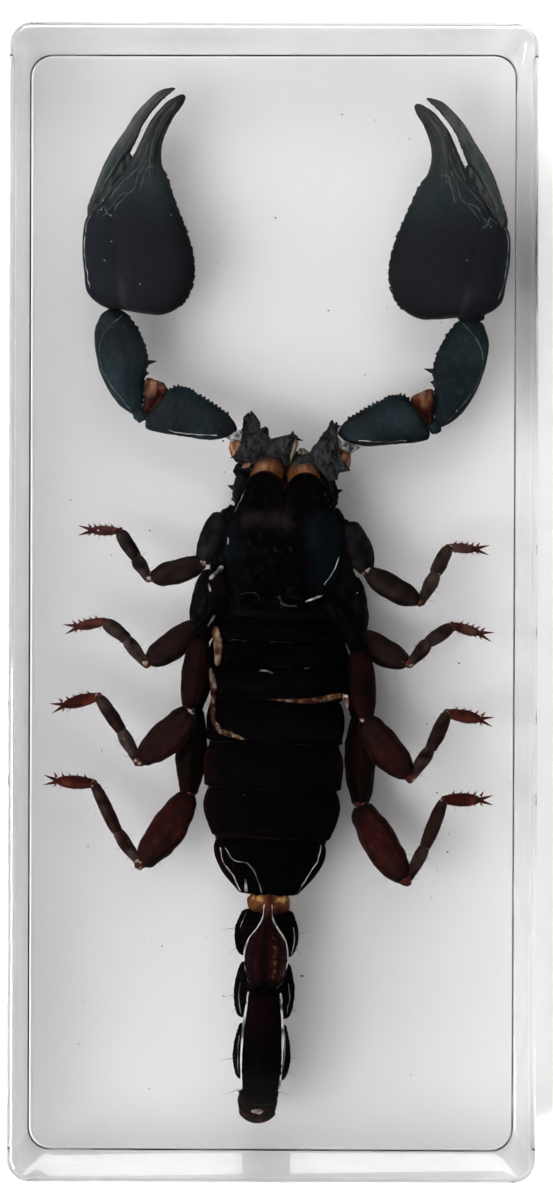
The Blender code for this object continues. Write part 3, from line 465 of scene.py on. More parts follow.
TORN_SKIN = {  # outline, height of its crown, and the two colours it runs between
    "left": (
        (((-5.5, 22.3), (-6.3, 22.5), (-7.2, 22.1), (-8.0, 21.4), (-7.3, 20.9), (-6.2, 20.9), (-5.5, 21.2)),
         12.9, "grey"),
        (((-6.0, 21.2), (-7.5, 20.9), (-7.6, 20.0), (-7.2, 18.9), (-6.3, 19.4), (-5.8, 20.4)), 12.5, "tan"),
        (((-4.3, 18.4), (-5.5, 18.2), (-6.0, 17.5), (-5.5, 17.3), (-4.6, 17.6)), 12.4, "tan"),
    ),
    "right": (
        (((6.4, 22.2), (7.2, 21.6), (8.4, 21.3), (9.7, 20.8), (9.0, 20.3), (8.4, 19.9), (7.2, 20.3), (6.6, 20.9)),
         12.9, "grey"),
        (((6.6, 20.9), (8.3, 20.6), (8.5, 19.0), (8.3, 17.9), (7.2, 18.6), (6.7, 19.6)), 12.5, "tan"),
    ),
}
HIP_LUMPS = (  # under the head shield's rim, on both sides
    ((6.9, 9.6, 9.9), (1.7, 2.6, 1.9)), ((7.9, 6.2, 9.6), (1.6, 2.6, 1.8)),
    ((8.2, 2.2, 9.8), (1.9, 2.9, 1.9)), ((7.9, -2.2, 9.6), (1.7, 2.8, 1.8)),
)
# Dried skin along the body's sides: line, half widths, and the two colours it runs between.
PALE_FOLD = (0.155, 0.076, 0.031)
SIDE_FOLDS = (
    (((-8.4, -3.4, 12.6), (-7.95, -6.2, 13.4), (-7.9, -8.6, 13.2)), (0.38, 0.60, 0.35), RED_BROWN, PALE_FOLD),
    (((-8.7, -8.8, 12.8), (-8.5, -10.4, 13.1), (-8.2, -12.0, 13.2)), (0.30, 0.46, 0.30), WINE, RUST),
    (((-8.2, -12.0, 13.2), (-8.3, -13.8, 13.2), (-8.1, -15.4, 13.3), (-7.2, -17.0, 14.0), (-5.4, -17.6, 14.7),
      (-3.8, -18.05, 15.0)), (0.25, 0.30, 0.36, 0.36, 0.24, 0.06), RED_BROWN, PALE_FOLD),
    (((-1.4, -12.65, 15.0), (1.6, -12.73, 15.05), (4.3, -12.65, 14.95), (6.3, -12.3, 14.4), (7.9, -11.95, 13.7),
      (8.7, -11.75, 13.1)), (0.04, 0.10, 0.27, 0.42, 0.38, 0.3), RED_BROWN, PALE_FOLD),
    (((8.5, -11.8, 13.2), (9.05, -11.9, 12.8), (9.3, -12.8, 12.5), (9.35, -13.6, 12.2)),
     (0.3, 0.25, 0.2, 0.08), RUST, CREAM),
)
GRIT = ((-16.4, 50.0), (-24.2, 49.6), (-24.0, 46.2), (-25.3, 51.5), (-24.8, 43.7), (22.4, 45.6))
TAIL_SPIKES = ((-3.0, -64.2), (2.6, -64.2), (1.8, -67.1), (0.1, -68.0), (-0.9, -67.9), (-2.5, -67.2))
TAIL_HAIRS = (  # root and tip in plan
    ((-4.0, -43.0), (-6.2, -43.3)), ((-3.6, -51.7), (-5.6, -52.2)), ((3.6, -50.7), (5.0, -50.8)),
    ((-3.5, -60.1), (-5.6, -60.5)), ((3.3, -59.6), (5.1, -59.9)), ((-2.7, -64.2), (-4.9, -65.0)),
    ((2.3, -64.2), (4.0, -64.7)), ((1.6, -66.9), (2.9, -68.3)), ((-2.1, -67.2), (-3.2, -68.3)),
    ((3.9, -43.6), (5.6, -43.0)), ((3.7, -45.2), (4.9, -46.4)), ((-3.8, -45.4), (-5.0, -46.6)),
    ((3.6, -53.2), (4.9, -54.1)), ((-3.5, -53.4), (-4.6, -54.6)), ((3.4, -61.3), (4.4, -62.2)),
)


# ---- Numbers -----------------------------------------------------------------------------------------------


def noise(points, size, shift=0.0):
    """Smooth noise from 0 to 1, with lumps of about that size in millimetres."""
    spot = np.asarray(points, float) / size + shift * 3.71 + 50.3
    cell = np.floor(spot).astype(int)
    part = spot - cell
    part = part * part * (3 - 2 * part)
    total = 0.0
    for corner in np.ndindex(2, 2, 2):
        weight = np.prod(np.where(np.array(corner), part, 1 - part), axis=-1)
        at = (cell + corner) % len(LATTICE)
        total = total + weight * LATTICE[at[..., 0], at[..., 1], at[..., 2]]
    return total


def grains(points, size, share=0.5, shift=0.0):
    """Round grains from 0 to 1 that stand apart from each other."""
    return np.clip((noise(points, size, shift) - share) / (1 - share), 0, 1) ** 0.7


def smooth(rows, count):
    """That many rows along a smooth line through the given ones, closer together towards its ends."""
    rows = np.asarray(rows, float)
    at = np.concatenate([[0], np.cumsum(np.linalg.norm(np.diff(rows, axis=0), axis=1))])
    slope = np.gradient(rows, at, axis=0)
    t = at[-1] * (0.5 - 0.5 * np.cos(np.linspace(0, pi, count)))
    i = np.clip(np.searchsorted(at, t, side="right") - 1, 0, len(at) - 2)
    gap = (at[i + 1] - at[i])[:, None]
    s = (t - at[i])[:, None] / gap
    start = (1 + 2 * s) * (1 - s) ** 2 * rows[i] + s * (1 - s) ** 2 * gap * slope[i]
    end = s * s * (3 - 2 * s) * rows[i + 1] + s * s * (s - 1) * gap * slope[i + 1]
    return start + end


def rounding(line, first, last):
    """From 0 at each end of a line up to 1, as a round end of that radius does."""
    at = np.concatenate([[0], np.cumsum(np.linalg.norm(np.diff(line, axis=0), axis=1))])
    grow = np.ones(len(at))
    for distance, radius in ((at, first), (at[-1] - at, last)):
        if radius:
            grow *= np.sqrt(1 - (1 - np.clip(distance / radius, 0, 1)) ** 2)
    return grow


def signed_power(values, exponent):
    return np.sign(values) * np.abs(values) ** exponent


def blend(first, second, share):
    """A colour at each point, from the first to the second as the share goes from 0 to 1."""
    share = np.clip(np.asarray(share, float), 0, 1)[..., None]
    return np.asarray(first) * (1 - share) + np.asarray(second) * share


def bump(values, centre, width):
    return np.exp(-(((values - centre) / width) ** 2))


# ---- Skins -------------------------------------------------------------------------------------------------


def out_from(grid):
    """The unit normal at each point of a grid of rings, pointing out."""
    along = np.gradient(grid, axis=0)
    around = np.roll(grid, -1, 1) - np.roll(grid, 1, 1)
    normal = np.cross(around, along)
    normal /= np.maximum(np.linalg.norm(normal, axis=-1, keepdims=True), 1e-9)
    outward = grid - grid.mean(axis=1, keepdims=True)
    return normal if (normal * outward).sum() > 0 else -normal


def skin(grid, tint):
    """A closed skin over rings of points, with a pole at each end: points, faces and colours."""
    rows, sides = grid.shape[:2]
    index = np.arange(rows * sides).reshape(rows, sides)
    near, far = index[:-1], index[1:]
    quads = np.stack([near, np.roll(near, -1, 1), np.roll(far, -1, 1), far], -1).reshape(-1, 4)
    start, end = rows * sides, rows * sides + 1
    caps = [(start, a, b) for a, b in zip(np.roll(index[0], -1), index[0])]
    caps += [(end, a, b) for a, b in zip(index[-1], np.roll(index[-1], -1))]
    tint = np.broadcast_to(np.asarray(tint, float), grid.shape)
    points = np.concatenate([grid.reshape(-1, 3), grid[[0, -1]].mean(axis=1)])
    colours = np.concatenate([tint.reshape(-1, 3), tint[[0, -1]].mean(axis=1)])
    return points, quads.tolist() + [tuple(int(i) for i in face) for face in caps], colours


def plate(top, thickness, tint):
    """A closed plate under a grid of points: its lower side lies straight below."""
    rows, columns = top.shape[:2]
    index = np.arange(rows * columns).reshape(rows, columns)
    rim = np.concatenate([index[0, :-1], index[:-1, -1], index[-1, :0:-1], index[:0:-1, 0]])
    quads = np.stack([index[:-1, :-1], index[:-1, 1:], index[1:, 1:], index[1:, :-1]], -1).reshape(-1, 4)
    below = quads[:, ::-1] + rows * columns
    ahead = np.roll(rim, -1)
    wall = np.stack([ahead, rim, rim + rows * columns, ahead + rows * columns], -1)
    low = top - np.array([0, 0, 1.0]) * np.asarray(thickness, float)[..., None]
    tint = np.broadcast_to(np.asarray(tint, float), top.shape).reshape(-1, 3)
    points = np.concatenate([top.reshape(-1, 3), low.reshape(-1, 3)])
    return points, np.concatenate([quads, below, wall]).tolist(), np.concatenate([tint, tint])


def tube(line, radii, tint, sides=8, flat=1.0, ends=True):
    """A round skin along points, its height that share of its width."""
    line = np.asarray(line, float)
    radii = np.broadcast_to(np.asarray(radii, float), (len(line),)).copy()
    if ends:
        radii *= np.maximum(rounding(line, radii.max(), radii.max()), 0.02)
    along = np.gradient(line, axis=0)
    along /= np.linalg.norm(along, axis=1, keepdims=True)
    side = np.cross(along, (0.0, 0.0, 1.0))
    short = np.linalg.norm(side, axis=1) < 1e-3
    side[short] = (1.0, 0.0, 0.0)
    side /= np.linalg.norm(side, axis=1, keepdims=True)
    up = np.cross(side, along)
    angle = np.linspace(0, 2 * pi, sides, endpoint=False)
    ring = side[:, None] * np.cos(angle)[None, :, None] + up[:, None] * flat * np.sin(angle)[None, :, None]
    return skin(line[:, None] + ring * radii[:, None, None], tint)


def spike(foot, point, radius, tint, hook=0.0, sides=8):
    """A sharp cone from foot to point. A hook bends it downwards."""
    share = np.linspace(0, 1, 7)
    foot, point = np.asarray(foot, float), np.asarray(point, float)
    line = foot + (point - foot) * share[:, None]
    line[:, 2] += hook * (share * (1 - share) * 2 - share**2)
    return tube(line, radius * (1 - 0.95 * share**1.2), tint, sides, ends=False)


def ball(centre, radii, tint, rows=12, sides=16, lumps=0.0):
    """A blob with the given half sizes, its surface uneven by a share of them."""
    lat = np.linspace(-pi / 2 + 0.12, pi / 2 - 0.12, rows)[:, None]
    lon = np.linspace(0, 2 * pi, sides, endpoint=False)[None]
    unit = np.stack([np.cos(lat) * np.cos(lon), np.cos(lat) * np.sin(lon), np.sin(lat) + 0 * lon], -1)
    grid = np.asarray(centre, float) + unit * np.asarray(radii, float)
    if lumps:
        grid = grid + unit * np.asarray(radii) * lumps * (noise(grid, max(radii) * 0.7) - 0.5)[..., None]
    return skin(grid, tint)


# ---- Objects -----------------------------------------------------------------------------------------------


def in_block(points):
    """From the scorpion's frame in millimetres to the block's in metres."""
    c, s = cos(SPECIMEN_TURN), sin(SPECIMEN_TURN)
    points = np.asarray(points, float)
    x, y, z = points[:, 0], points[:, 1], points[:, 2]
    return np.stack([x * c - y * s + SPECIMEN_OFFSET, x * s + y * c, z], -1) * MM


def add_piece(name, parts, material, replaced=()):
    """One object from closed skins, riding on the block's body."""
    points, faces, colours, count = [], [], [], 0
    for part_points, part_faces, part_colours in parts:
        points.append(part_points)
        colours.append(part_colours)
        faces += [[i + count for i in face] for face in part_faces]
        count += len(part_points)
    colours = np.concatenate(colours)
    mesh = bpy.data.meshes.new(name)
    mesh.from_pydata(in_block(np.concatenate(points)).tolist(), [], faces)
    shape = bmesh.new()
    shape.from_mesh(mesh)
    bmesh.ops.recalc_face_normals(shape, faces=shape.faces)
    shape.to_mesh(mesh)
    shape.free()
    tint = mesh.color_attributes.new("tint", "FLOAT_COLOR", "POINT")
    tint.data.foreach_set("color", np.concatenate([colours, np.ones((len(colours), 1))], 1).ravel())
    mesh.shade_smooth()
    mesh.materials.append(material)
    piece = bpy.data.objects.new(name, mesh)
    bpy.context.scene.collection.objects.link(piece)
    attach(piece, "root")
    if replaced:
        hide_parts(*replaced)
    return piece


def surface_under(pieces, plan):
    """The highest points of some pieces at plan points of the scorpion's frame, in millimetres."""
    depsgraph = bpy.context.evaluated_depsgraph_get()
    trees = [BVHTree.FromObject(piece, depsgraph) for piece in pieces]
    found = []
    for (x, y), place in zip(plan, in_block([(x, y, 0.0) for x, y in plan])):
        hits = [tree.ray_cast(Vector((place[0], place[1], 1.0)), Vector((0, 0, -1)))[0] for tree in trees]
        heights = [hit.z for hit in hits if hit is not None]
        if heights:
            found.append((x, y, max(heights) / MM))
    return np.array(found)


# ---- Materials ---------------------------------------------------------------------------------------------


def new_material(name):
    material = bpy.data.materials.new(name)
    material.use_nodes = True
    nodes = material.node_tree.nodes
    return material, nodes["Principled BSDF"], nodes, material.node_tree.links


def shell_material(name, roughness, unevenness, relief, grain, specular):
    """Horny shell: the piece's own colours, mottled, with fine relief and uneven gloss."""
    material, shader, nodes, links = new_material(name)
    tint = nodes.new("ShaderNodeAttribute")
    tint.attribute_name = "tint"
    place = nodes.new("ShaderNodeTexCoord")
    mottle = nodes.new("ShaderNodeTexNoise")
    mottle.inputs["Scale"].default_value = grain
    mottle.inputs["Detail"].default_value = 4.0
    links.new(place.outputs["Object"], mottle.inputs["Vector"])
    spread = nodes.new("ShaderNodeMapRange")
    spread.inputs["To Min"].default_value = 1 - unevenness
    spread.inputs["To Max"].default_value = 1 + unevenness
    links.new(mottle.outputs["Fac"], spread.inputs["Value"])
    mix = nodes.new("ShaderNodeMix")
    mix.data_type = "RGBA"
    mix.blend_type = "MULTIPLY"
    mix.inputs["Factor"].default_value = 1.0
    links.new(tint.outputs["Color"], mix.inputs["A"])
    links.new(spread.outputs["Result"], mix.inputs["B"])
    links.new(mix.outputs["Result"], shader.inputs["Base Color"])
    gloss = nodes.new("ShaderNodeMapRange")
    gloss.inputs["To Min"].default_value = roughness * 0.7
    gloss.inputs["To Max"].default_value = roughness * 1.4
    links.new(mottle.outputs["Fac"], gloss.inputs["Value"])
    links.new(gloss.outputs["Result"], shader.inputs["Roughness"])
    fine = nodes.new("ShaderNodeTexNoise")
    fine.inputs["Scale"].default_value = grain * 5
    fine.inputs["Detail"].default_value = 3.0
    links.new(place.outputs["Object"], fine.inputs["Vector"])
    lift = nodes.new("ShaderNodeBump")
    lift.inputs["Strength"].default_value = relief
    lift.inputs["Distance"].default_value = 0.00008
    links.new(fine.outputs["Fac"], lift.inputs["Height"])
    links.new(lift.outputs["Normal"], shader.inputs["Normal"])
    shader.inputs["Specular IOR Level"].default_value = specular
    return material


def resin_material():
    material, shader, nodes, links = new_material("clear_resin")
    shader.inputs["Base Color"].default_value = (1.0, 1.0, 1.0, 1.0)
    shader.inputs["Roughness"].default_value = 0.0
    shader.inputs["IOR"].default_value = RESIN_IOR
    shader.inputs["Transmission Weight"].default_value = 1.0
    haze = nodes.new("ShaderNodeVolumeAbsorption")
    haze.inputs["Color"].default_value = RESIN_TINT
    haze.inputs["Density"].default_value = RESIN_DENSITY
    links.new(haze.outputs["Volume"], nodes["Material Output"].inputs["Volume"])
    return material


def film_material():
    """Air between resin and shell: it throws nearly all light back."""
    material, shader, nodes, links = new_material("air_film")
    tint = nodes.new("ShaderNodeAttribute")
    tint.attribute_name = "tint"
    place = nodes.new("ShaderNodeTexCoord")
    patch = nodes.new("ShaderNodeTexNoise")
    patch.inputs["Scale"].default_value = 900.0
    links.new(place.outputs["Object"], patch.inputs["Vector"])
    spread = nodes.new("ShaderNodeMapRange")
    spread.inputs["To Min"].default_value = 0.6
    spread.inputs["To Max"].default_value = 1.15
    links.new(patch.outputs["Fac"], spread.inputs["Value"])
    mix = nodes.new("ShaderNodeMix")
    mix.data_type = "RGBA"
    mix.blend_type = "MULTIPLY"
    mix.inputs["Factor"].default_value = 1.0
    links.new(tint.outputs["Color"], mix.inputs["A"])
    links.new(spread.outputs["Result"], mix.inputs["B"])
    links.new(mix.outputs["Result"], shader.inputs["Base Color"])
    shader.inputs["Metallic"].default_value = 0.5
    shader.inputs["Roughness"].default_value = 0.35
    return material


# ---- Claws, arms and jaws ----------------------------------------------------------------------------------


def fitted(point, fit):
    pivot, scale, shift = fit
    return [p + (value - p) * s + move for value, p, s, move in zip(point, pivot, scale, shift)]


def arm_grid(kind, side_name, side, stations, height, rows, sides, ends, fullness=0.85):
    """The rings of an arm piece, with the share along it and the angle round it. Its inner edge is at half a turn."""
    fit = ARM_FIT.get((kind, side_name), NO_FIT)
    table = [(*fitted(a, fit), *fitted(b, fit), half) for a, b, half in stations]
    line = smooth(table, rows)
    near, far, half = line[:, 0:2], line[:, 2:4], line[:, 4]
    if (kind, side_name) == ("hand", "left"):
        depth, place, width = PALM_WAIST
        near[:, 0] += depth * bump(near[:, 1], place, width)
    middle, reach = (near + far) / 2, (far - near) / 2
    grow = np.maximum(rounding(middle, *ends), 0.02)
    angle = np.linspace(0, 2 * pi, sides, endpoint=False)
    across = signed_power(np.cos(angle), fullness)
    up = signed_power(np.sin(angle), fullness)
    plan = middle[:, None] + reach[:, None] * (across[None] * grow[:, None])[..., None]
    z = height + half[:, None] * up[None] * grow[:, None]
    grid = np.concatenate([plan * (side, 1), z[..., None]], -1)
    at = np.concatenate([[0], np.cumsum(np.linalg.norm(np.diff(middle, axis=0), axis=1))])
    return grid, (at / at[-1])[:, None], angle[None], grow[:, None]


def teeth(share, count, seed, first=0.0, last=1.0):
    """A row of uneven teeth from 0 to 1 along a share."""
    heights = 0.35 + 0.65 * np.random.default_rng(seed).random(count + 1)
    step = np.clip((share - first) / (last - first), 0, 1) * count
    part = step - np.floor(step)
    inside = (share > first) & (share < last)
    return (1 - np.abs(2 * part - 1)) ** 1.3 * heights[np.floor(step).astype(int)] * inside


def raised(grid, amount):
    return grid + out_from(grid) * amount[..., None]


def keels(angle, places, width, wander=0.0, share=0.0):
    """Ridges along a piece at places round it, in half turns."""
    return sum(bump(angle, place * pi + wander * np.sin(share * 9 + place * 20), width) for place in places)


def spurs_of(kind, side_name, side, height, tint):
    fit = ARM_FIT.get((kind, side_name), NO_FIT)
    made = []
    for foot, point in SPURS[kind]:
        a, b = fitted(foot, fit), fitted(point, fit)
        made.append(spike((a[0] * side, a[1], height), (b[0] * side, b[1], height), SPUR_RADIUS, tint))
    return made


def crag(outline, crown, low, high, rim, seed=0):
    """A rough plate with a sharp outline in plan, rising to a ridged crown."""
    corners = np.array(outline, float)
    edge = np.concatenate([
        a + (b - a) * np.linspace(0, 1, CRAG_STEPS, endpoint=False)[:, None]
        for a, b in zip(corners, np.roll(corners, -1, 0))
    ])
    share = np.concatenate([np.linspace(0.03, 1, 18), np.linspace(0.96, 0.03, 10)])
    lift = np.where(np.arange(28) < 18, 1 - 0.55 * share**3, share**4 * 1.35 - 0.9)
    plan = corners.mean(axis=0) + (edge - corners.mean(axis=0)) * share[:, None, None]
    base = crown - CRAG_DEPTH
    z = base + CRAG_DEPTH * np.broadcast_to(lift[:, None], plan.shape[:2])
    grid = np.concatenate([plan, z[..., None]], -1)
    inside = np.clip((1 - share) * 6, 0, 1)[:, None]
    grid[..., 2] += inside * (1.1 * (noise(grid * (1, 1, 0), 1.0, seed) - 0.5) + 0.5 * (noise(grid, 0.4, 2) - 0.5))
    tint = blend(np.array(low) * 0.55, high, noise(grid * (1.5, 0.6, 1.0), 0.5, seed + 1) * 1.7 - 0.35)
    tint = blend(tint, SMOKE, 0.45 * grains(grid, 0.3, 0.55, 3))
    margin = np.clip((share - 0.86) * 12, 0, 1)[:, None] * np.clip(noise(grid, 1.3, seed + 4) * 2.4 - 0.9, 0, 1)
    return skin(grid, blend(tint, rim, 0.4 * margin))


def lump(centre, radii, low, high, size=1.2, lumps=0.35, rows=22, sides=34):
    """A rough knob whose colour runs between two."""
    points, faces, _ = ball(centre, radii, low, rows, sides, lumps)
    points = points + (points - centre) / max(radii) * 0.5 * (noise(points, 0.5, 8) - 0.5)[:, None]
    return points, faces, blend(low, high, noise(points, size, 6) * 1.2)


def claw_web(side_name, side):
    """The wrinkled skin that closes the root of the slit between the two fingers."""
    fit = ARM_FIT.get(("hand", side_name), NO_FIT)
    plan = [fitted(point, fit) for point in SLIT]
    line = smooth([(x * side, y, CLAW_HEIGHT + 0.6) for x, y in plan], 60)
    points, faces, _ = tube(line, np.interp(np.arange(60), (0, 15, 45, 59), (0.5, 0.95, 0.9, 0.4)), SLATE, 24, 1.3)
    points = points + 0.25 * (noise(points * (1.0, 0.5, 1.0), 0.6, 2) - 0.5)[:, None]
    return points, faces, blend(SLATE, PALE_SMOKE, noise(points * (1.5, 0.5, 1.0), 0.7, 5) * 1.3 - 0.35)


def build_hand(side_name, side, shell):
    """The palm with its fixed finger, granular along the inner edge and wrinkled where the fingers part."""
    grid, share, angle, grow = arm_grid("hand", side_name, side, HAND, CLAW_HEIGHT, 220, 84, (1.4, 0.5))
    finger = np.clip((share - 0.45) / 0.3, 0, 1)
    x, y = np.abs(grid[..., 0]), grid[..., 1]
    crease = x - PALM_CREASE[0] - PALM_CREASE[1] * (y - PALM_CREASE[2])
    outward = np.clip(0.5 + crease / 4.0, 0, 1)
    amount = 0.14 * (noise(grid, 5.0) - 0.5) * (1 - finger)
    amount = amount - 0.34 * bump(crease, 0, 0.45) * (np.sin(angle) > 0) * (1 - finger) * np.clip((y - 39.5) / 3, 0, 1)
    amount = amount + (0.03 + 0.17 * finger) * keels(angle, (0.20, 0.40, 0.62, 0.84), 0.085, 0.12, share)
    amount = amount + 0.14 * keels(angle, (1.25, 1.5, 1.75), 0.1)
    amount = amount + 0.05 * grains(grid, 0.42, 0.5) * (0.3 + 0.7 * finger)
    parting = bump(share, 0.56, 0.13) * outward
    amount = amount + 0.22 * parting * (noise(grid * (1.0, 0.45, 1.0), 0.7, 3) - 0.4)
    amount = amount + 0.22 * teeth(share, 15, 3, 0.12, 0.66) * bump(angle, pi, 0.24)
    amount = amount + 0.32 * teeth(share, 29, 7, 0.12, 0.64) * bump(angle, pi, 0.10)
    amount = amount + 0.26 * teeth(share, 31, 4, 0.14, 0.6) * bump(angle, 0.92 * pi, 0.07)
    amount = amount + 0.16 * teeth(share, 26, 5, 0.66, 0.97) * (bump(angle, 0, 0.2) + bump(angle, 2 * pi, 0.2))
    grid = raised(grid, amount * grow)
    tint = blend(SLATE, blend(TEAL, BLUE_SLATE, 0.6 + noise(grid, 4.0, 2)), outward)
    tint = blend(tint, BLUE_SLATE, 0.8 * grains(grid, 0.5, 0.55, 9))
    streak = noise(grid * (2.0, 0.5, 1.0), 1.6, 3)
    tint = blend(tint, TEAL, 0.5 * bump(share, 0.56, 0.12))
    tint = blend(tint, SMOKE, finger * (0.05 + streak) * (1 - 0.5 * np.clip((share - 0.9) * 10, 0, 1)))
    tint = blend(tint, SMOKE, 0.5 * bump(crease, 0.0, 0.4) * np.clip((43.0 - y) / 3, 0, 1) * (np.sin(angle) > 0))
    tint = blend(tint, PALE_SMOKE, bump(share, 0.82, 0.1) * outward * streak)
    tint = blend(tint, PALE_SMOKE, 0.8 * parting * grains(grid * (1.0, 0.4, 1.0), 0.5, 0.55, 3))
    name = f"hand_{side_name}"
    root = fitted(KNUCKLE, ARM_FIT.get(("hand", side_name), NO_FIT))
    knuckle = lump((root[0] * side, root[1], CLAW_HEIGHT), (1.0, 2.2, 2.2), BLUE_SLATE, SMOKE, lumps=0.2)
    parts = [skin(grid, tint), claw_web(side_name, side), knuckle]
    return add_piece(f"{name}_shell", parts, shell, [name])


def build_finger(side_name, side, shell):
    grid, share, angle, grow = arm_grid("finger", side_name, side, FINGER, CLAW_HEIGHT, 150, 52, (1.2, 0.5))
    amount = 0.05 * grains(grid, 0.4, 0.5) + 0.15 * keels(angle, (0.25, 0.5, 0.72, 1.4), 0.12, 0.1, share)
    amount = amount + 0.2 * teeth(share, 30, 6, 0.3, 0.96) * bump(angle, pi, 0.22)
    grid = raised(grid, amount * grow)
    streak = noise(grid * (2.0, 0.5, 1.0), 1.6, 4)
    tint = blend(TEAL, SMOKE, 0.1 + streak)
    tint = blend(tint, PALE_SMOKE, bump(share, 0.7, 0.2) * streak * 1.2)
    tint = blend(tint, SLATE, 0.6 * np.clip((share - 0.92) * 12, 0, 1))
    name = f"finger_{side_name}"
    return add_piece(f"{name}_shell", [skin(grid, tint)], shell, [name])


def arm_tint(grid):
    tint = blend(TEAL, DEEP_TEAL, noise(grid, 3.0, 2))
    tint = blend(tint, SLATE, 0.7 * noise(grid, 4.5, 5))
    return blend(tint, SMOKE, 0.35 * grains(grid, 0.35, 0.6, 4))


def build_forearm(side_name, side, shell):
    grid, share, angle, grow = arm_grid("forearm", side_name, side, FOREARM, ARM_HEIGHT, 130, 66, (1.2, 1.0))
    amount = 0.06 * grains(grid, 0.5, 0.45) + 0.12 * (noise(grid, 3.0) - 0.5)
    amount = amount + 0.16 * keels(angle, (0.22, 0.5, 0.78, 1.25, 1.75), 0.09, 0.1, share)
    amount = amount + 0.34 * teeth(share, 17, 8, 0.1, 0.95) * bump(angle, pi, 0.15)
    grid = raised(grid, amount * grow)
    wrist = lump((23.3 * side, 38.8, ARM_HEIGHT), (1.9, 1.0, 1.5), TEAL, SLATE)
    elbow = lump((19.3 * side, 24.1, ARM_HEIGHT), (0.9, 1.1, 1.2), TEAL, SLATE)
    name = f"forearm_{side_name}"
    parts = [skin(grid, arm_tint(grid)), wrist, elbow, *spurs_of("forearm", side_name, side, ARM_HEIGHT, TEAL)]
    return add_piece(f"{name}_shell", parts, shell, [name])


def build_upper_arm(side_name, side, shell):
    grid, share, angle, grow = arm_grid("upper_arm", side_name, side, UPPER_ARM, ARM_HEIGHT, 130, 60, (0.8, 0.9))
    amount = 0.07 * grains(grid, 0.5, 0.45) + 0.12 * (noise(grid, 3.0) - 0.5)
    amount = amount + 0.15 * keels(angle, (0.25, 0.75, 1.3, 1.7), 0.1, 0.1, share)
    amount = amount + 0.46 * teeth(share, 17, 9, 0.12, 0.9) * bump(angle, pi, 0.13)
    grid = raised(grid, amount * grow)
    name = f"upper_arm_{side_name}"
    return add_piece(f"{name}_shell", [skin(grid, arm_tint(grid))], shell, [name])


def build_elbow(side_name, side, skins):
    """The soft skin in the bend of the elbow, in folds."""
    grid, share, angle, grow = arm_grid("elbow_skin", side_name, side, ELBOW_SKIN, ARM_HEIGHT, 70, 50, (0.5, 0.4))
    centre = grid.mean(axis=(0, 1))
    grid = centre + (grid - centre) * (1.25, 1.15, 1.0)
    folds = noise(grid * (1.4, 0.5, 1.0), 0.7, 1)
    grid = raised(grid, 0.5 * (folds - 0.5) * grow)
    low = np.clip((27.5 - grid[..., 1]) / 1.5, 0, 1)
    tint = blend(blend(RUST, RED_BROWN, 0.3), TAN, np.clip(folds * 1.9 - 0.95, 0, 0.8))
    edge = np.clip((grid[..., 1] - 28.0) / 0.6, 0, 1)
    pale = np.clip(noise(grid * (0.7, 1.6, 1.0), 0.8, 2) * 2.4 - 1.0, 0, 0.9)
    tint = blend(tint, CREAM, (0.06 + 0.6 * edge) * pale)
    tint = blend(tint, RED_BROWN, 0.95 * low)
    name = f"elbow_skin_{side_name}"
    parts = [skin(grid, tint), lump((17.4 * side, 26.0, 10.1), (1.7, 2.4, 1.5), DARK_BROWN, RUST)]
    return add_piece(f"{name}_fold", parts, skins, [name])


def build_shoulder(side_name, side, shell, skins):
    """The spiky first piece of the arm, with the pale torn skin behind it."""
    grid, share, angle, grow = arm_grid("shoulder", side_name, side, SHOULDER, ARM_HEIGHT, 70, 40, (0.8, 0.3))
    grid = raised(grid, (0.14 * grains(grid, 0.45, 0.45) + 0.75 * (noise(grid, 0.9) - 0.5)) * grow)
    name = f"shoulder_{side_name}"
    parts = [skin(grid, blend(DEEP_TEAL, SLATE, noise(grid, 0.8, 2) * 1.5))]
    parts += [crag(outline, crown, SLATE, ROUGH_SLATE, DARK_AMBER, i) for i, (outline, crown) in enumerate(SHOULDER_CRAGS[side_name])]
    parts += [spike((*foot, 12.3), (*point, 12.3), 0.3, SLATE) for foot, point in SHOULDER_POINTS[side_name]]
    add_piece(f"{name}_shell", parts, shell, [name])
    torn = []
    for i, (outline, crown, look) in enumerate(TORN_SKIN[side_name]):
        low, high = (SMOKE, TORN_GREY) if look == "grey" else (RUST, PALE_TAN)
        torn.append(crag(outline, crown, low, high, RED_BROWN, i + 3))
    add_piece(f"shoulder_skin_{side_name}", torn, skins)


def build_arm_base(side_name, side, shell):
    grid, share, angle, grow = arm_grid("arm_base", side_name, side, ARM_BASE, ARM_BASE_HEIGHT, 64, 40, (0.4, 0.6))
    grid = raised(grid, (0.09 * grains(grid, 0.45, 0.45) + 0.3 * (noise(grid, 1.5) - 0.5)) * grow)
    tint = blend(NIGHT, SLATE, noise(grid, 1.2, 4) * 1.4)
    name = f"arm_base_{side_name}"
    parts = [skin(grid, tint), *spurs_of("arm_base", side_name, side, ARM_BASE_HEIGHT, SLATE)]
    parts.append(lump((4.9 * side, 17.5, 10.4), (1.9, 1.3, 1.6), NIGHT, SLATE))
    parts.append(lump((5.0 * side, 14.6, 9.8), (1.5, 2.6, 1.7), NIGHT, SLATE))
    return add_piece(f"{name}_shell", parts, shell, [name])


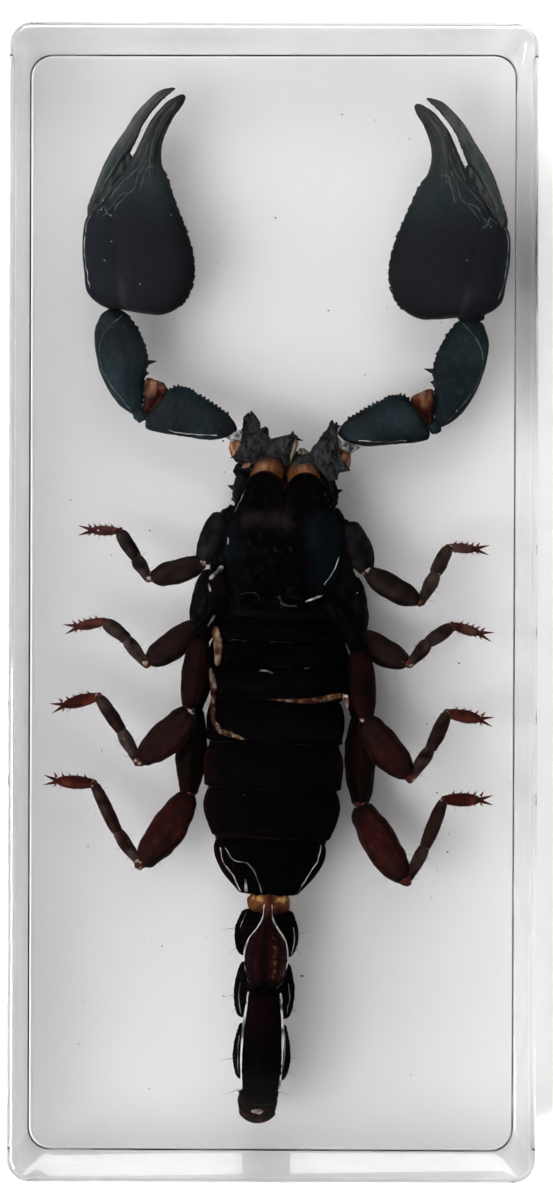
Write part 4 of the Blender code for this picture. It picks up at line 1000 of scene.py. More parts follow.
def build_jaw(side_name, side, jaws):
    """A jaw: tan behind, dark and rough in front, with fangs and a pale inner finger."""
    grid, share, angle, grow = arm_grid("jaw", side_name, side, JAW, JAW_HEIGHT, 90, 48, (0.8, 0.9))
    grid = raised(grid, (0.05 * grains(grid, 0.5, 0.5) + 0.15 * (noise(grid, 1.2) - 0.5)) * grow)
    x, y = np.abs(grid[..., 0]), grid[..., 1]
    # The tan patch on the jaw's back is its own colour; its brighter middle and the pale tan streaks there are a
    # painted highlight.
    middle = bump(x, 2.6 + 0.4 * (side > 0), 1.25) * bump(y, 17.3, 1.0)
    tint = blend(DARK_AMBER, TAN, middle * (0.3 + noise(grid * (1.4, 0.6, 1.0), 0.7, 1)))
    tint = blend(tint, PALE_TAN, 0.6 * middle * np.clip(noise(grid * (1.2, 0.5, 1.0), 0.7, 3) * 2.4 - 1.0, 0, 1))
    streaks = np.clip(noise(grid * (2.6, 0.35, 1.0), 0.8, 8) * 2.4 - 1.05, 0, 1)
    tint = blend(tint, DARK_AMBER, 0.8 * streaks)
    tint = blend(tint, AMBER, 0.6 * np.clip((17.3 - y) / 0.9, 0, 1))
    tint = blend(tint, AMBER, 0.9 * bump(x, 0.1, 0.7) * (0.3 + noise(grid * (3.0, 0.5, 1.0), 1.0, 5)))
    tint = blend(tint, DARK_BROWN, 0.8 * bump(x, 0.05, 0.22))
    front = np.clip((y - 18.3 + 0.35 * (x - 2.3) ** 2 + 0.8 * (noise(grid, 1.0, 2) - 0.5)) / 1.0, 0, 1)
    tint = blend(tint, blend(SLATE, DARK_BROWN, noise(grid, 0.8, 4)), front)
    parts = [skin(grid, tint)]
    parts.append(crag(*JAW_CRAGS[side_name], SLATE, ROUGH_SLATE, DARK_AMBER, 6))
    parts.append(lump((0.9 * side, 15.6, 10.6), (1.5, 4.6, 1.9), DARK_BROWN, RED_BROWN))
    if side < 0:
        parts.append(crag(*JAW_FINGERS[0], PALE_TAN, GREENISH, SMOKE, 7))
        parts.append(spike((1.2, 21.6, 13.0), (2.1, 21.3, 12.9), 0.22, SLATE))
    else:
        parts.append(crag(*JAW_FINGERS[1], DARK_BROWN, GREENISH, SLATE, 9))
    name = f"jaw_{side_name}"
    return add_piece(f"{name}_shell", parts, jaws, [name])


# ---- Head and abdomen --------------------------------------------------------------------------------------


def carapace_grid(rows, columns):
    """The head shield from above, with the share across it from -1 to 1. Its front swells into two lobes."""
    table = smooth(CARAPACE_ROWS, rows)
    y, half_width, crown = table[:, 0:1], table[:, 1:2], table[:, 2:3]
    across = np.sin(np.linspace(-pi / 2, pi / 2, columns))[None]
    forward = np.clip((y - CARAPACE_LOBE_START) / (CARAPACE_ROWS[-1][0] - CARAPACE_LOBE_START), 0, 1)
    lobe = CARAPACE_LOBE_REACH * np.sin(pi * np.abs(across) ** CARAPACE_LOBE_PLACE) ** CARAPACE_LOBE_FULLNESS
    drop = (crown - CARAPACE_EDGE_HEIGHT) * np.abs(across) ** CARAPACE_SHOULDER
    top = np.stack([half_width * across, y + lobe * forward**CARAPACE_LOBE_ONSET, crown - drop], -1)
    return top, across + 0 * y, forward + 0 * across


def build_carapace(shell):
    top, across, forward = carapace_grid(130, 131)
    x, y = top[..., 0], top[..., 1]
    edge = (1 - np.abs(across) ** 8) * np.clip((y + 0.9) / 0.3, 0, 1)
    z = -0.22 * bump(x, 0.12 * np.sin(y), 0.22) * np.clip(np.abs(y - 7.0) - 1.4, 0, 1)
    z += 0.45 * bump(np.hypot(x, (y - 7.0) * 0.8), 0, 1.3)
    z -= 0.30 * bump(np.abs(x) - 2.4 - 0.35 * np.clip(5.0 - y, 0, 3), 0, 0.4) * np.clip((6.0 - y) / 2, 0, 1)
    z -= 0.22 * bump(y - 1.2 + 0.25 * np.abs(x), 0, 0.35)
    z -= 0.40 * bump(y, 11.7, 0.7) * bump(np.abs(x), 2.6, 2.2)
    z += 0.30 * bump(forward, 1.0, 0.045)
    z += 0.16 * (noise(top, 2.4) - 0.5)
    z += 0.10 * grains(top, 0.45, 0.5) * np.clip(np.abs(across) * 1.6 - 0.5, 0, 1)
    z += 0.20 * bump(np.abs(across), 0.965, 0.03)
    top[..., 2] += z * edge
    tint = blend(NIGHT, PLUM, 0.5 * noise(top, 3.0, 1))
    # Painted sheen: the blue-green tint over the right of the head shield stands in for its gloss.
    right = np.clip((x - 1.8 - 1.5 * noise(top, 1.6, 9)) / 2.5, 0, 1) * np.clip((y - 1.0) / 3, 0, 1)
    right = right * np.clip((13.5 - y) / 3, 0, 1)
    tint = blend(tint, DEEP_TEAL, right * (0.4 + noise(top, 2.5, 2)))
    left = np.clip((-x - 4.2) / 2.5, 0, 1)
    tint = blend(tint, blend(BLUE_SLATE, PLUM, noise(top, 1.3, 8)), 0.3 * left * (0.3 + noise(top, 2.0, 3)))
    tint = blend(tint, DEEP_TEAL, 0.6 * left * bump(y, 7.0, 2.2) * (0.4 + noise(top, 1.6, 7)))
    band = bump(y, 10.8, 1.1) * np.clip((2.6 - np.abs(x + 2.0) / 1.5) * 2, 0, 1)
    tint = blend(tint, GREY_BROWN, 0.18 * band * np.clip(noise(top, 1.2, 5) * 1.5, 0, 1))
    tint = blend(tint, SLATE, 0.3 * grains(top, 0.5, 0.6, 4))
    rim = blend(DARK_BROWN, DARK_AMBER, noise(top, 1.0, 6) * 1.8 - 0.3)
    tint = blend(tint, rim, np.clip((forward - 0.988) * 120, 0, 1))
    parts = [plate(top, np.full(top.shape[:2], CARAPACE_THICKNESS), tint)]
    for x0, y0 in MIDDLE_EYES:
        parts.append(ball((x0, y0, 15.62), (0.36, 0.36, 0.34), blend(NIGHT, SMOKE, 0.12), 16, 24))
    for x0, y0, z0, radius in SIDE_EYES:
        for side in (-1, 1):
            parts.append(ball((x0 * side, y0, z0), (radius,) * 3, blend(NIGHT, SMOKE, 0.3), 12, 16))
    return add_piece("carapace_shell", parts, shell, ["carapace"])


def body_grid(stations, rows, sides, ends):
    """Rings across the midline through (y, half width, lowest, highest)."""
    line = smooth(stations, rows)
    grow = np.maximum(rounding(line[:, :1], *ends), 0.02)
    angle = np.linspace(0, 2 * pi, sides, endpoint=False)
    x = line[:, 1:2] * signed_power(np.cos(angle), RING_FULLNESS)[None] * grow[:, None]
    tall = (line[:, 3:4] - line[:, 2:3]) / 2
    z = (line[:, 3:4] + line[:, 2:3]) / 2 + tall * signed_power(np.sin(angle), RING_FULLNESS)[None] * grow[:, None]
    grid = np.stack([x, np.broadcast_to(line[:, :1], x.shape), z], -1)
    share = ((line[:, 0] - line[0, 0]) / (line[-1, 0] - line[0, 0]))[:, None]
    return grid, share, angle[None], grow[:, None]


def build_chest(shell):
    """The underside of the head, with the thick hip plates that carry the legs."""
    grid, share, angle, grow = body_grid(CHEST, 80, 72, (1.0, 1.2))
    grid = raised(grid, (0.25 * (noise(grid, 1.6) - 0.5) + 0.05 * grains(grid, 0.5)) * grow)
    parts = [skin(grid, blend(NIGHT, DARK_BROWN, noise(grid, 2.0, 1)))]
    for name, (plan, half_widths, heights) in LEGS.items():
        hip = np.array((*plan[0], heights[0]))
        top = np.array((*plan[1], heights[0]))
        inner = np.array((1.3 * np.sign(hip[0]), hip[1] * 0.75 + 2.2, 8.4))
        path = smooth([inner, inner * 0.3 + hip * 0.7, hip * 0.6 + top * 0.4], 40)
        width = half_widths[0] * np.interp(np.linspace(0, 1, 40), (0, 0.5, 1), (0.55, 0.95, 0.85))
        points, faces, _ = tube(path, width, DARK_BROWN, 28, 0.85)
        points = points + 0.12 * (noise(points, 0.9, 4) - 0.5)[:, None]
        parts.append((points, faces, blend(NIGHT, DARK_BROWN, noise(points, 1.5, 2) * 0.9)))
    for centre, radii in HIP_LUMPS:
        for side in (-1, 1):
            parts.append(lump(np.array(centre) * (side, 1, 1), radii, NIGHT, DARK_BROWN, lumps=0.5))
    return add_piece("chest_shell", parts, shell, ["chest"])


def ring_stations(number):
    """A ring's (y, half width, lowest, highest). Its rear edge laps over the next ring."""
    i = number - 1
    front = RING_JOINTS[i] - PIECE_GAP / 2
    rear = RING_JOINTS[i + 1] + (PIECE_GAP / 2 if number == 7 else -RING_LAP)
    stations = []
    for share, half in RING_WIDTHS[i]:
        tuck = RING_TUCK if share == 0 else 0.0
        back = RING_BACKS[i] + (RING_BACKS[i + 1] - RING_BACKS[i]) * share - tuck
        belly = RING_BELLIES[i] + (RING_BELLIES[i + 1] - RING_BELLIES[i]) * share + tuck / 2
        stations.append((front + (rear - front) * share, half, belly, back))
    return stations


def build_ring(number, shell):
    """One abdomen ring: smooth in front, finely grained behind, with a raised rear edge."""
    grid, share, angle, grow = body_grid(ring_stations(number), 62, 150, (0.3, 0.3))
    upper = np.clip(np.sin(angle) * 3 + 0.3, 0, 1)
    behind = np.clip((share - 0.35) / 0.5, 0, 1)
    amount = 0.14 * (noise(grid, 2.6, number) - 0.5)
    amount = amount + (0.03 + 0.08 * behind) * grains(grid, 0.42, 0.52) * upper
    amount = amount + 0.14 * bump(share, 0.94, 0.05) * upper
    amount = amount - 0.08 * bump(share, 0.26, 0.05) * upper
    amount = amount - 0.4 * bump(angle, pi * 0.045, 0.05) - 0.4 * bump(angle, pi * 0.955, 0.05)
    if number == 7:
        amount = amount + 0.2 * keels(angle, (0.38, 0.62), 0.05) * (share > 0.3)
    grid = raised(grid, amount * grow)
    x = grid[..., 0]
    sides = np.abs(np.cos(angle)) ** 8
    tint = blend(NIGHT, PLUM, noise(grid, 3.5, 1) * 0.5)
    tint = blend(tint, SLATE, (0.08 + 0.16 * behind) * grains(grid, 0.36, 0.52) * upper)
    tint = blend(tint, NIGHT, 0.8 * bump(share, 0.97, 0.05) * upper)
    tint = blend(tint, RED_BROWN, sides * noise(grid, 1.4, 3) * (0.25 + 0.5 * (number > 4)))
    tint = blend(tint, RED_BROWN, 0.7 * np.clip(-np.sin(angle) * 2, 0, 1) * noise(grid, 2.5, 5))
    if number == 6:
        tint = blend(tint, RUST, 0.7 * bump(share, 0.985, 0.02) * bump(x, -0.3, 1.4) * upper)
        tint = blend(tint, WINE, 0.8 * bump(share, 0.97, 0.05) * np.clip(-x / 5, 0, 1))
    name = f"abdomen_ring_{number}"
    return add_piece(f"{name}_shell", [skin(grid, tint)], shell, [name])


def fold_level(path):
    """The height of a line against the sum of its x and y, for np.interp."""
    order = np.argsort(path[:, 0] + path[:, 1])
    return (path[:, 0] + path[:, 1])[order], path[order, 2]


def fold_ribbon(line, radii, low, high, seed):
    """A strip of dried skin, mottled between two colours, with painted light and shade: its upper side lighter and
    flecked with cream, its lower side kept to the first colour.
    """
    path = smooth(line, 60)
    wide = np.interp(np.linspace(0, 1, 60), np.linspace(0, 1, len(radii)), radii)
    points, faces, _ = tube(path, wide, low, 16, 0.6)
    points = points + 0.16 * (noise(points, 0.5, seed) - 0.5)[:, None]
    tint = blend(low, high, np.clip(noise(points * (1.0, 0.6, 1.0), 0.45, seed + 1) * 2.6 - 0.8, 0, 1))
    # Painted light and shade: the upper side is lighter and cream-flecked, the lower side darker.
    above = points[:, 2] - np.interp(points[:, 0] + points[:, 1], *fold_level(path))
    lit_upper_side = np.clip(above / max(radii) * 1.8, 0, 1)
    tint = blend(low, tint, 0.2 + 0.9 * lit_upper_side)
    return points, faces, blend(tint, CREAM, 0.45 * lit_upper_side * grains(points * (1.0, 0.5, 1.0), 0.4, 0.55, seed))


def build_soft_body(skins):
    """The soft skin that shows between the rings and along the sides."""
    stations = [(0.5, 5.4, 8.8, 13.2)]
    for number in range(1, 8):
        for y, half, low, high in ring_stations(number)[1:3]:
            stations.append((y, half - 0.55, low + 0.4, high - 0.6))
    stations.append((-38.3, 3.0, 8.2, 11.4))
    grid, share, angle, grow = body_grid(stations, 160, 64, (1.0, 0.8))
    grid = raised(grid, 0.35 * (noise(grid, 1.1) - 0.5) * grow)
    flank = 0.15 + np.abs(np.cos(angle)) ** 6
    parts = [skin(grid, blend(NIGHT, DARK_BROWN, noise(grid, 1.5, 2) * 1.3 * flank))]
    parts += [fold_ribbon(line, radii, low, high, i) for i, (line, radii, low, high) in enumerate(SIDE_FOLDS)]
    return add_piece("soft_body", parts, skins)


def build_combs(skins):
    for name, side in (("comb_left", -1), ("comb_right", 1)):
        line = smooth([(x * side, y, COMB_HEIGHT) for (x, y), _ in COMB], 40)
        half = np.interp(np.linspace(0, 1, 40), np.linspace(0, 1, len(COMB)), [w for _, w in COMB])
        parts = [tube(line, half, TAN, 16, COMB_FLATNESS)]
        for i in range(COMB_TEETH):
            foot = line[4 + int(i * 32 / COMB_TEETH)] + (0.05 * side, -0.15, 0)
            parts.append(spike(foot, foot + (0.25 * side, -0.95, -0.1), 0.2, blend(TAN, CREAM, 0.5), sides=10))
        add_piece(f"{name}_teeth", parts, skins, [name])


# ---- Tail --------------------------------------------------------------------------------------------------


def barrel(profile, rows, sides, centre, flatness, places, keel_height, seed):
    """A tail segment along y through (y, half width), with beaded keels along it."""
    line = smooth(profile, rows)
    grow = np.maximum(rounding(line[:, :1], 0.5, 0.5), 0.02)
    angle = np.linspace(0, 2 * pi, sides, endpoint=False)
    x = centre[0] + (line[:, 1] * grow)[:, None] * np.cos(angle)[None]
    z = centre[1] + (line[:, 1] * grow)[:, None] * flatness * np.sin(angle)[None]
    grid = np.stack([x, np.broadcast_to(line[:, :1], x.shape), z], -1)
    share = ((line[:, 0] - line[0, 0]) / (line[-1, 0] - line[0, 0]))[:, None]
    amount = 0.1 * (noise(grid, 1.6, seed) - 0.5) + 0.05 * grains(grid, 0.4, 0.5, seed)
    beads = 0.55 + 0.45 * teeth(share, 15, seed + 10)
    amount = amount + keel_height * keels(angle[None], places, 0.1) * beads
    return raised(grid, amount * grow[:, None]), share, angle[None]


def tail_tint(grid, shift):
    tint = blend(NIGHT, PLUM, noise(grid, 1.8, shift) * 1.3)
    tint = blend(tint, SLATE, 0.25 * grains(grid, 0.5, 0.55, shift + 2))
    return blend(tint, DARK_BROWN, noise(grid, 1.2, shift + 1) * 0.25)


def build_tail_segment(number, shell):
    front, rear, ends, widest, half_height = TAIL_SEGMENTS[number]
    length, swell = rear - front, widest - ends
    profile = [(front + length * share, ends + swell * part) for share, part in TAIL_SWELL]
    height = TAIL_FOLD_HEIGHT if number == 5 else TAIL_HEIGHT
    places = (0.06, 0.94, 1.3, 1.7) if number == 5 else (0.02, 0.24, 0.76, 0.98, 1.25, 1.42, 1.58, 1.75)
    grid, share, angle = barrel(profile, 76, 72, (0.0, height), half_height / widest, places, 0.22, number)
    if number != 5:
        trough = bump(grid[..., 0], 0, 1.5) * np.clip(np.sin(angle) * 3, 0, 1) * np.sin(share * pi)
        grid[..., 2] -= 0.45 * trough
    tint = tail_tint(grid, number)
    if number == 5:
        tint = blend(blend(tint, NIGHT, 0.7), blend(PLUM, WINE, 0.3), np.clip(1.3 - share * 2.4, 0, 0.9))
    name = f"tail_segment_{number}"
    return add_piece(f"{name}_shell", [skin(grid, tint)], shell, [name])


def build_tail_turn(shell):
    """The segment that stands on end where the tail folds back, with its spikes and its amber spot."""
    line = smooth(TAIL_TURN, 64)
    grow = np.maximum(rounding(line[:, :1], 0.6, 0.6), 0.02)
    angle = np.linspace(0, 2 * pi, 66, endpoint=False)
    radius = (line[:, 1] * grow)[:, None]
    x = TAIL_TURN_CENTRE[0] + radius * np.cos(angle)[None]
    y = TAIL_TURN_CENTRE[1] + radius * np.sin(angle)[None] * TAIL_TURN_FLATNESS
    grid = np.stack([x, y, line[:, :1] + 0 * x], -1)
    amount = 0.07 * grains(grid, 0.4) + 0.16 * bump(angle[None] % (pi / 3), pi / 6, 0.12)
    grid = raised(grid, amount * grow[:, None])
    rim = bump(grid[..., 2], 12.6, 0.9) * noise(grid, 0.9, 3)
    parts = [skin(grid, blend(tail_tint(grid, 4), RED_BROWN, 0.5 * rim))]
    turn = np.linspace(-0.12 * pi, -0.88 * pi, 50)
    rim_line = [(TAIL_TURN_CENTRE[0] + 2.35 * cos(a), TAIL_TURN_CENTRE[1] - 0.1 + 2.15 * sin(a), 12.9) for a in turn]
    points, faces, _ = tube(rim_line, 0.42, RED_BROWN, 14)
    parts.append((points, faces, blend(DARK_BROWN, RUST, noise(points, 0.7, 5) * 0.6 - 0.2)))
    parts.append(lump((-0.25, -66.75, 13.15), (0.75, 0.32, 0.3), RUST, CREAM, 0.4, 0.4))
    for x, y in TAIL_SPIKES:
        reach = np.array((x, y)) - TAIL_TURN_CENTRE
        foot, point = TAIL_TURN_CENTRE + reach * 0.72, TAIL_TURN_CENTRE + reach
        parts.append(spike((*foot, 11.6), (*point, 11.9), 0.3, DARK_BROWN))
    return add_piece("tail_segment_4_shell", parts, shell, ["tail_segment_4"])


def build_tail_root(skins):
    """The golden skin between the abdomen and the tail, with painted highlights of gold and cream on its lobes."""
    half_width, half_length, half_height = TAIL_ROOT_SIZE
    y = TAIL_ROOT_CENTRE_Y
    stations = [(y + half_length, half_width * 0.9), (y, half_width), (y - half_length, half_width * 0.95)]
    grid, share, angle = barrel(stations, 40, 64, (0.0, TAIL_HEIGHT), half_height / half_width, (), 0, 3)
    parts = [skin(grid, blend(DARK_BROWN, RUST, noise(grid, 0.9, 1) * 1.5))]
    for centre, radii in TAIL_ROOT_LUMPS:
        points, faces, _ = lump(centre, radii, AMBER, GOLD, 0.5, 0.2, 30, 48)
        x, y = points[:, 0] - 0.2, points[:, 1]
        # Painted highlight: gold and cream where the two side lobes would catch the light; the amber and red-brown
        # round it are the skin's own colour.
        painted_shine = bump(np.abs(x), 1.6, 0.65) * bump(y, -38.95, 0.45)
        tint = blend(RED_BROWN, AMBER, noise(points * (1.2, 0.6, 1.0), 0.8, 6) * 1.2 - 0.1 + 0.5 * painted_shine)
        tint = blend(tint, GOLD, 1.6 * painted_shine * np.clip(noise(points * (1.6, 0.8, 1.0), 0.5, 7) * 2.0 - 0.6, 0, 1))
        tint = blend(tint, CREAM, 0.6 * painted_shine * grains(points, 0.4, 0.55, 4))
        tint = blend(tint, RED_BROWN, np.maximum(bump(x, 0, 0.55), np.clip((-39.9 - y) / 0.6, 0, 0.85)))
        parts.append((points, faces, tint))
    return add_piece("tail_root_fold", parts, skins, ["tail_root_skin"])


def build_stinger(stinger_shell):
    line = smooth(STINGER, 150)
    angle = np.linspace(0, 2 * pi, 72, endpoint=False)
    grow = np.maximum(rounding(line[:, :1], 0.8, 0.1), 0.02)[:, None]
    x = line[:, 1:2] * grow * np.cos(angle)[None]
    z = line[:, 2:3] + line[:, 3:4] * grow * np.sin(angle)[None]
    grid = np.stack([x, line[:, :1] + 0 * x, z], -1)
    bulb = np.clip((-42.6 - grid[..., 1]) / 1.5, 0, 1)
    amount = 0.10 * grains(grid, 0.5, 0.5) + 0.10 * (noise(grid, 1.0) - 0.5)
    amount = amount + 0.14 * keels(angle[None], (0.25, 0.4, 0.6, 0.75, 1.3, 1.7), 0.07)
    grid = raised(grid, amount * bulb * grow)
    lanes = keels(angle[None], (0.22, 0.42, 0.66, 0.82), 0.13) * (0.2 + noise(grid, 0.8, 2))
    tint = blend(blend(PLUM, WINE, 0.7), RED_BROWN, 0.45 * lanes)
    tint = blend(tint, NIGHT, 0.8 * bump(angle[None], 0.53 * pi, 0.14))
    beads = grains(grid, 0.28, 0.5, 2) * bump(angle[None], 0.36 * pi, 0.09)
    tint = blend(tint, TAN, 0.7 * beads * bulb)
    tint = blend(tint, RUST, 0.35 * bump(angle[None], 0.2 * pi, 0.25) * noise(grid, 0.9, 4))
    tint = blend(tint, NIGHT, 0.9 * np.clip((-48.4 - grid[..., 1]) / 1.5, 0, 1))
    tint = blend(tint, RUST, 0.5 * np.clip((grid[..., 1] + 41.2) / 1.5, 0, 1))
    return add_piece("stinger_shell", [skin(grid, tint)], stinger_shell, ["stinger"])


# ---- Legs --------------------------------------------------------------------------------------------------


def limb(start, end, profile, half, sides, seed, places, belly=0.0):
    """A leg segment between two joints, its outer side rounder by the belly."""
    axis = end - start
    length = np.linalg.norm(axis)
    axis = axis / length
    flat = np.cross(axis, (0.0, 0.0, 1.0))
    flat /= np.linalg.norm(flat)
    up = np.cross(flat, axis)
    line = smooth([(share * length, width * half) for share, width in profile], 48)
    grow = np.maximum(rounding(line[:, :1], 0.45 * half, 0.4 * half), 0.03)
    angle = np.linspace(0, 2 * pi, sides, endpoint=False)
    share = (line[:, 0] / length)[:, None]
    middle = start + axis * line[:, :1] + flat * belly * half * np.sin(pi * share)
    ring = flat * np.cos(angle)[:, None] + up * np.sin(angle)[:, None]
    grid = middle[:, None] + ring[None] * (line[:, 1] * grow)[:, None, None]
    amount = 0.16 * half * (noise(grid, 1.3, seed) - 0.5) + 0.045 * grains(grid, 0.35, 0.5, seed)
    amount = amount + 0.10 * half * keels(angle[None], places, 0.14)
    return raised(grid, amount * grow[:, None]), share


def leg_joints(plan, heights):
    hip, thigh = heights
    levels = (hip, thigh, thigh, KNEE_HEIGHT, SHIN_HEIGHT, ANKLE_HEIGHT, TOE_HEIGHT)
    return [np.array((*point, level)) for point, level in zip(plan, levels)]


def limb_tint(grid, share, segment, red):
    """The colour of a leg segment, redder on the hind legs and paler towards the foot."""
    mottle = noise(grid, 0.9, segment)
    streak = noise(grid, 1.6, segment + 4)
    if segment == 5:
        foot = blend(ROSE, RUST, red * 1.1)
        tint = blend(foot, RED_BROWN, np.clip(mottle * 1.5 - 0.25 * (1 - red), 0, 0.85))
        return blend(tint, DARK_BROWN, 0.6 * np.clip((share - 0.8) * 5, 0, 1))
    if segment in (3, 4):
        tint = blend(DARK_BROWN, GREY_BROWN, (mottle * 1.5 - 0.2) * (1 - 0.4 * (segment == 4)))
        return blend(tint, RED_BROWN, 0.8 * streak * red)
    if segment == 2:
        hind = 0.65 + 0.35 * (red > 0.95)
        tint = blend(DARK_BROWN, GREY_BROWN, 0.25 * mottle * (1.2 - red))
        tint = blend(tint, RED_BROWN, red * hind * np.sin(pi * share) * streak * 1.8)
        return blend(tint, RUST, red * hind * 0.4 * grains(grid, 0.5, 0.55, 3) * np.sin(pi * share))
    strength = np.clip(1.25 - 2.2 * red, 0.35, 1.2) * (0.6 + 0.4 * (segment == 1))
    tint = blend(NIGHT, blend(SLATE, DARK_BROWN, red), (mottle * 1.3 - 0.1) * strength)
    return blend(tint, RED_BROWN, (red > 0.5) * 0.6 * streak * (segment == 1))


def leg_folds(joints, sizes):
    """The bits of pale skin that show in the joints."""
    folds = []
    for i, size in sizes:
        back = (joints[i - 1] - joints[i]) / np.linalg.norm(joints[i - 1] - joints[i])
        ahead = (joints[i + 1] - joints[i]) / np.linalg.norm(joints[i + 1] - joints[i])
        centre = joints[i] + (back + ahead) * 0.15 * size + (0, 0, 0.45 * size)
        points, faces, _ = ball(centre, (size, size, size * 0.8), TAN, 18, 26, 0.7)
        tint = blend(DARK_BROWN, RUST, noise(points, 0.7, 1) * 1.1 - 0.1)
        folds.append((points, faces, blend(tint, CREAM, 0.8 * grains(points, 0.35, 0.66, i))))
    return folds


def leg_hairs(joints, widths, rng):
    hairs = []
    for i, count in ((2, 8), (3, 10), (4, 8), (5, 10)):
        run = joints[i + 1] - joints[i]
        lane = np.cross(run, (0, 0, 1.0))
        lane = lane / np.linalg.norm(lane)
        for _ in range(count):
            side = lane * rng.choice((-1, 1))
            root = joints[i] + run * rng.random() + side * widths[i] * 0.75
            tip = root + side * rng.uniform(0.5, 1.3) + run * rng.uniform(-0.02, 0.12) + (0, 0, rng.uniform(-0.3, 0.4))
            hairs.append(spike(root, tip, 0.022, GREY_BROWN, 0.1, 3))
    return hairs


def build_leg(name, plan, half_widths, heights, shell, skins):
    joints = leg_joints(plan, heights)
    thigh, long_part, shin, foot = half_widths
    side = 1 if "right" in name else -1
    red = LEG_REDNESS[name[-1]]
    segments = (
        (HIP_PROFILE, thigh, 0.0, ()),
        (THIGH_PROFILE, thigh, 0.06, (0.5, 1.0, 1.5, 0.0)),
        (LONG_PROFILE, long_part, 0.10, (0.3, 0.7, 1.5)),
        (SHIN_PROFILE, shin, 0.05, (0.5,)),
        (ANKLE_PROFILE, shin, 0.0, (0.5,)),
        (FOOT_PROFILE, foot, 0.0, (0.5,)),
    )
    parts = []
    for i, (profile, half, belly, places) in enumerate(segments):
        start, end = joints[i], joints[i + 1]
        start = start + (start - end) / np.linalg.norm(start - end) * JOINT_OVERLAP
        grid, share = limb(start, end, profile, half, 36, i + len(name), places, belly * side)
        parts.append(skin(grid, limb_tint(grid, share, i, red)))
    toe, ankle = joints[-1], joints[-2]
    along = (toe - ankle) / np.linalg.norm(toe - ankle)
    for turn in (-TOE_CLAW_SPREAD, TOE_CLAW_SPREAD):
        lean = np.array(Matrix.Rotation(turn, 3, "Z") @ Vector(along))
        tip = toe + lean * (TOE_CLAW_LENGTH - 0.25)
        parts.append(spike(toe - along * 0.4 + lean * 0.1, tip, TOE_CLAW_RADIUS, blend(DARK_BROWN, RUST, 0.45), 0.45, 10))
    ahead = np.cross(along, (0, 0, 1.0))
    ahead = ahead if ahead[1] > 0 else -ahead
    for share in FOOT_TEETH:
        root = ankle + (toe - ankle) * share + ahead * foot * 0.55
        parts.append(spike(root, root + ahead * (0.42 + 0.3 * foot) + along * 0.4, 0.2, RUST, sides=8))
        low = ankle + (toe - ankle) * share - ahead * foot * 0.5 - (0, 0, 0.2)
        parts.append(spike(low, low - ahead * 0.45 + along * 0.4, 0.14, RUST, sides=8))
    spur = joints[4]
    for turn in (-1, 1):
        parts.append(spike(spur + ahead * 0.3 * turn, spur + ahead * 1.1 * turn + along * 0.3, 0.16, GREY_BROWN, sides=8))
    widths = (thigh, thigh, long_part, shin, shin * 0.6, foot)
    node = f"leg_{name}"
    piece = add_piece(f"{node}_shell", parts, shell, [node])
    sizes = ((2, 0.5 * thigh), (3, 0.36 * long_part), (4, 0.5 * shin), (5, 0.5 * shin))
    add_piece(f"{node}_skin", leg_folds(joints, sizes), skins)
    rng = np.random.default_rng(sum(map(ord, name)))
    add_piece(f"{node}_hairs", leg_hairs(joints, widths, rng), shell)
    return piece


# ---- Air, hairs and dust -----------------------------------------------------------------------------------


def film(carriers, plan, half_width, low, high, seed):
    """A thin uneven ribbon on the highest of some pieces, waving a little off its plan line."""
    path = smooth(np.array(plan), max(16, 9 * len(plan)))
    place = np.column_stack([path, np.full(len(path), float(seed))])
    path = path + 0.22 * np.column_stack([noise(place, 0.8) - 0.5, noise(place, 0.8, 3) - 0.5])
    line = surface_under(carriers, path.tolist())
    if len(line) < 4:
        return []
    wide = half_width * (0.35 + 1.1 * noise(line, 0.9, seed))
    points, faces, _ = tube(line, wide, low, 8, 0.5)
    return [(points, faces, blend(low, high, noise(points, 0.7, seed) * 1.8 - 0.4))]


def lanes_between(stations, first, places):
    """Plan lines that run along a claw piece at shares of its width."""
    rows = stations[first:-1]
    return [[tuple(np.array(a) + (np.array(b) - a) * place) for a, b, _ in rows] for place in places]


def build_films(pieces, air, shell):
    for side_name, side in (("left", -1), ("right", 1)):
        silver, ridges = [], []
        for kind, films in ARM_FILMS.items():
            fit = ARM_FIT.get((kind, side_name), NO_FIT)
            for i, (plan, half) in enumerate(films):
                line = [(x * side, y) for x, y in (fitted(point, fit) for point in plan)]
                silver += film([pieces[f"{kind}_{side_name}"]], line, half, SMOKE, ARM_SILVER[kind], i + side)
        # Pale lines along the keels of palm and finger: raised ridges whose paleness is a painted highlight; the
        # wrinkles where the fingers part are pale skin of their own.
        for kind, stations, first, places in (("hand", HAND, 9, (0.5, 0.85)), ("finger", FINGER, 1, (0.3, 0.75))):
            fit = ARM_FIT.get((kind, side_name), NO_FIT)
            lanes = lanes_between(stations, first, places) + [list(line) for line in ARM_WRINKLES[kind]]
            for i, plan in enumerate(lanes):
                line = [(x * side, y) for x, y in (fitted(point, fit) for point in plan)]
                ridges += film([pieces[f"{kind}_{side_name}"]], line, 0.10, SMOKE, PALE_SMOKE, i + 5 + side)
        add_piece(f"arm_air_{side_name}", silver, air)
        add_piece(f"claw_ridges_and_highlights_{side_name}", ridges, shell)
    parts = []
    for name, films in BODY_FILMS.items():
        carriers = [pieces[name], *(pieces[leg] for leg in FRONT_LEGS)] if name == "chest" else [pieces[name]]
        for i, (plan, half, shade) in enumerate(films):
            dull = np.array(SMOKE) * (0.2 + 0.8 * shade)
            parts += film(carriers, plan, half, dull, blend(dull, SILVER, shade), i)
    for plan, height, half in TAIL_FILMS:
        path = smooth(plan, 70)
        line = np.column_stack([path, np.full(len(path), height)])
        points, faces, _ = tube(line, half * (0.5 + noise(line, 1.3, 1)), SILVER, 10, 1.4)
        parts.append((points, faces, blend(SMOKE, SILVER, noise(points, 1.0, 2) * 2.4 - 0.2)))
    add_piece("body_air", parts, air)


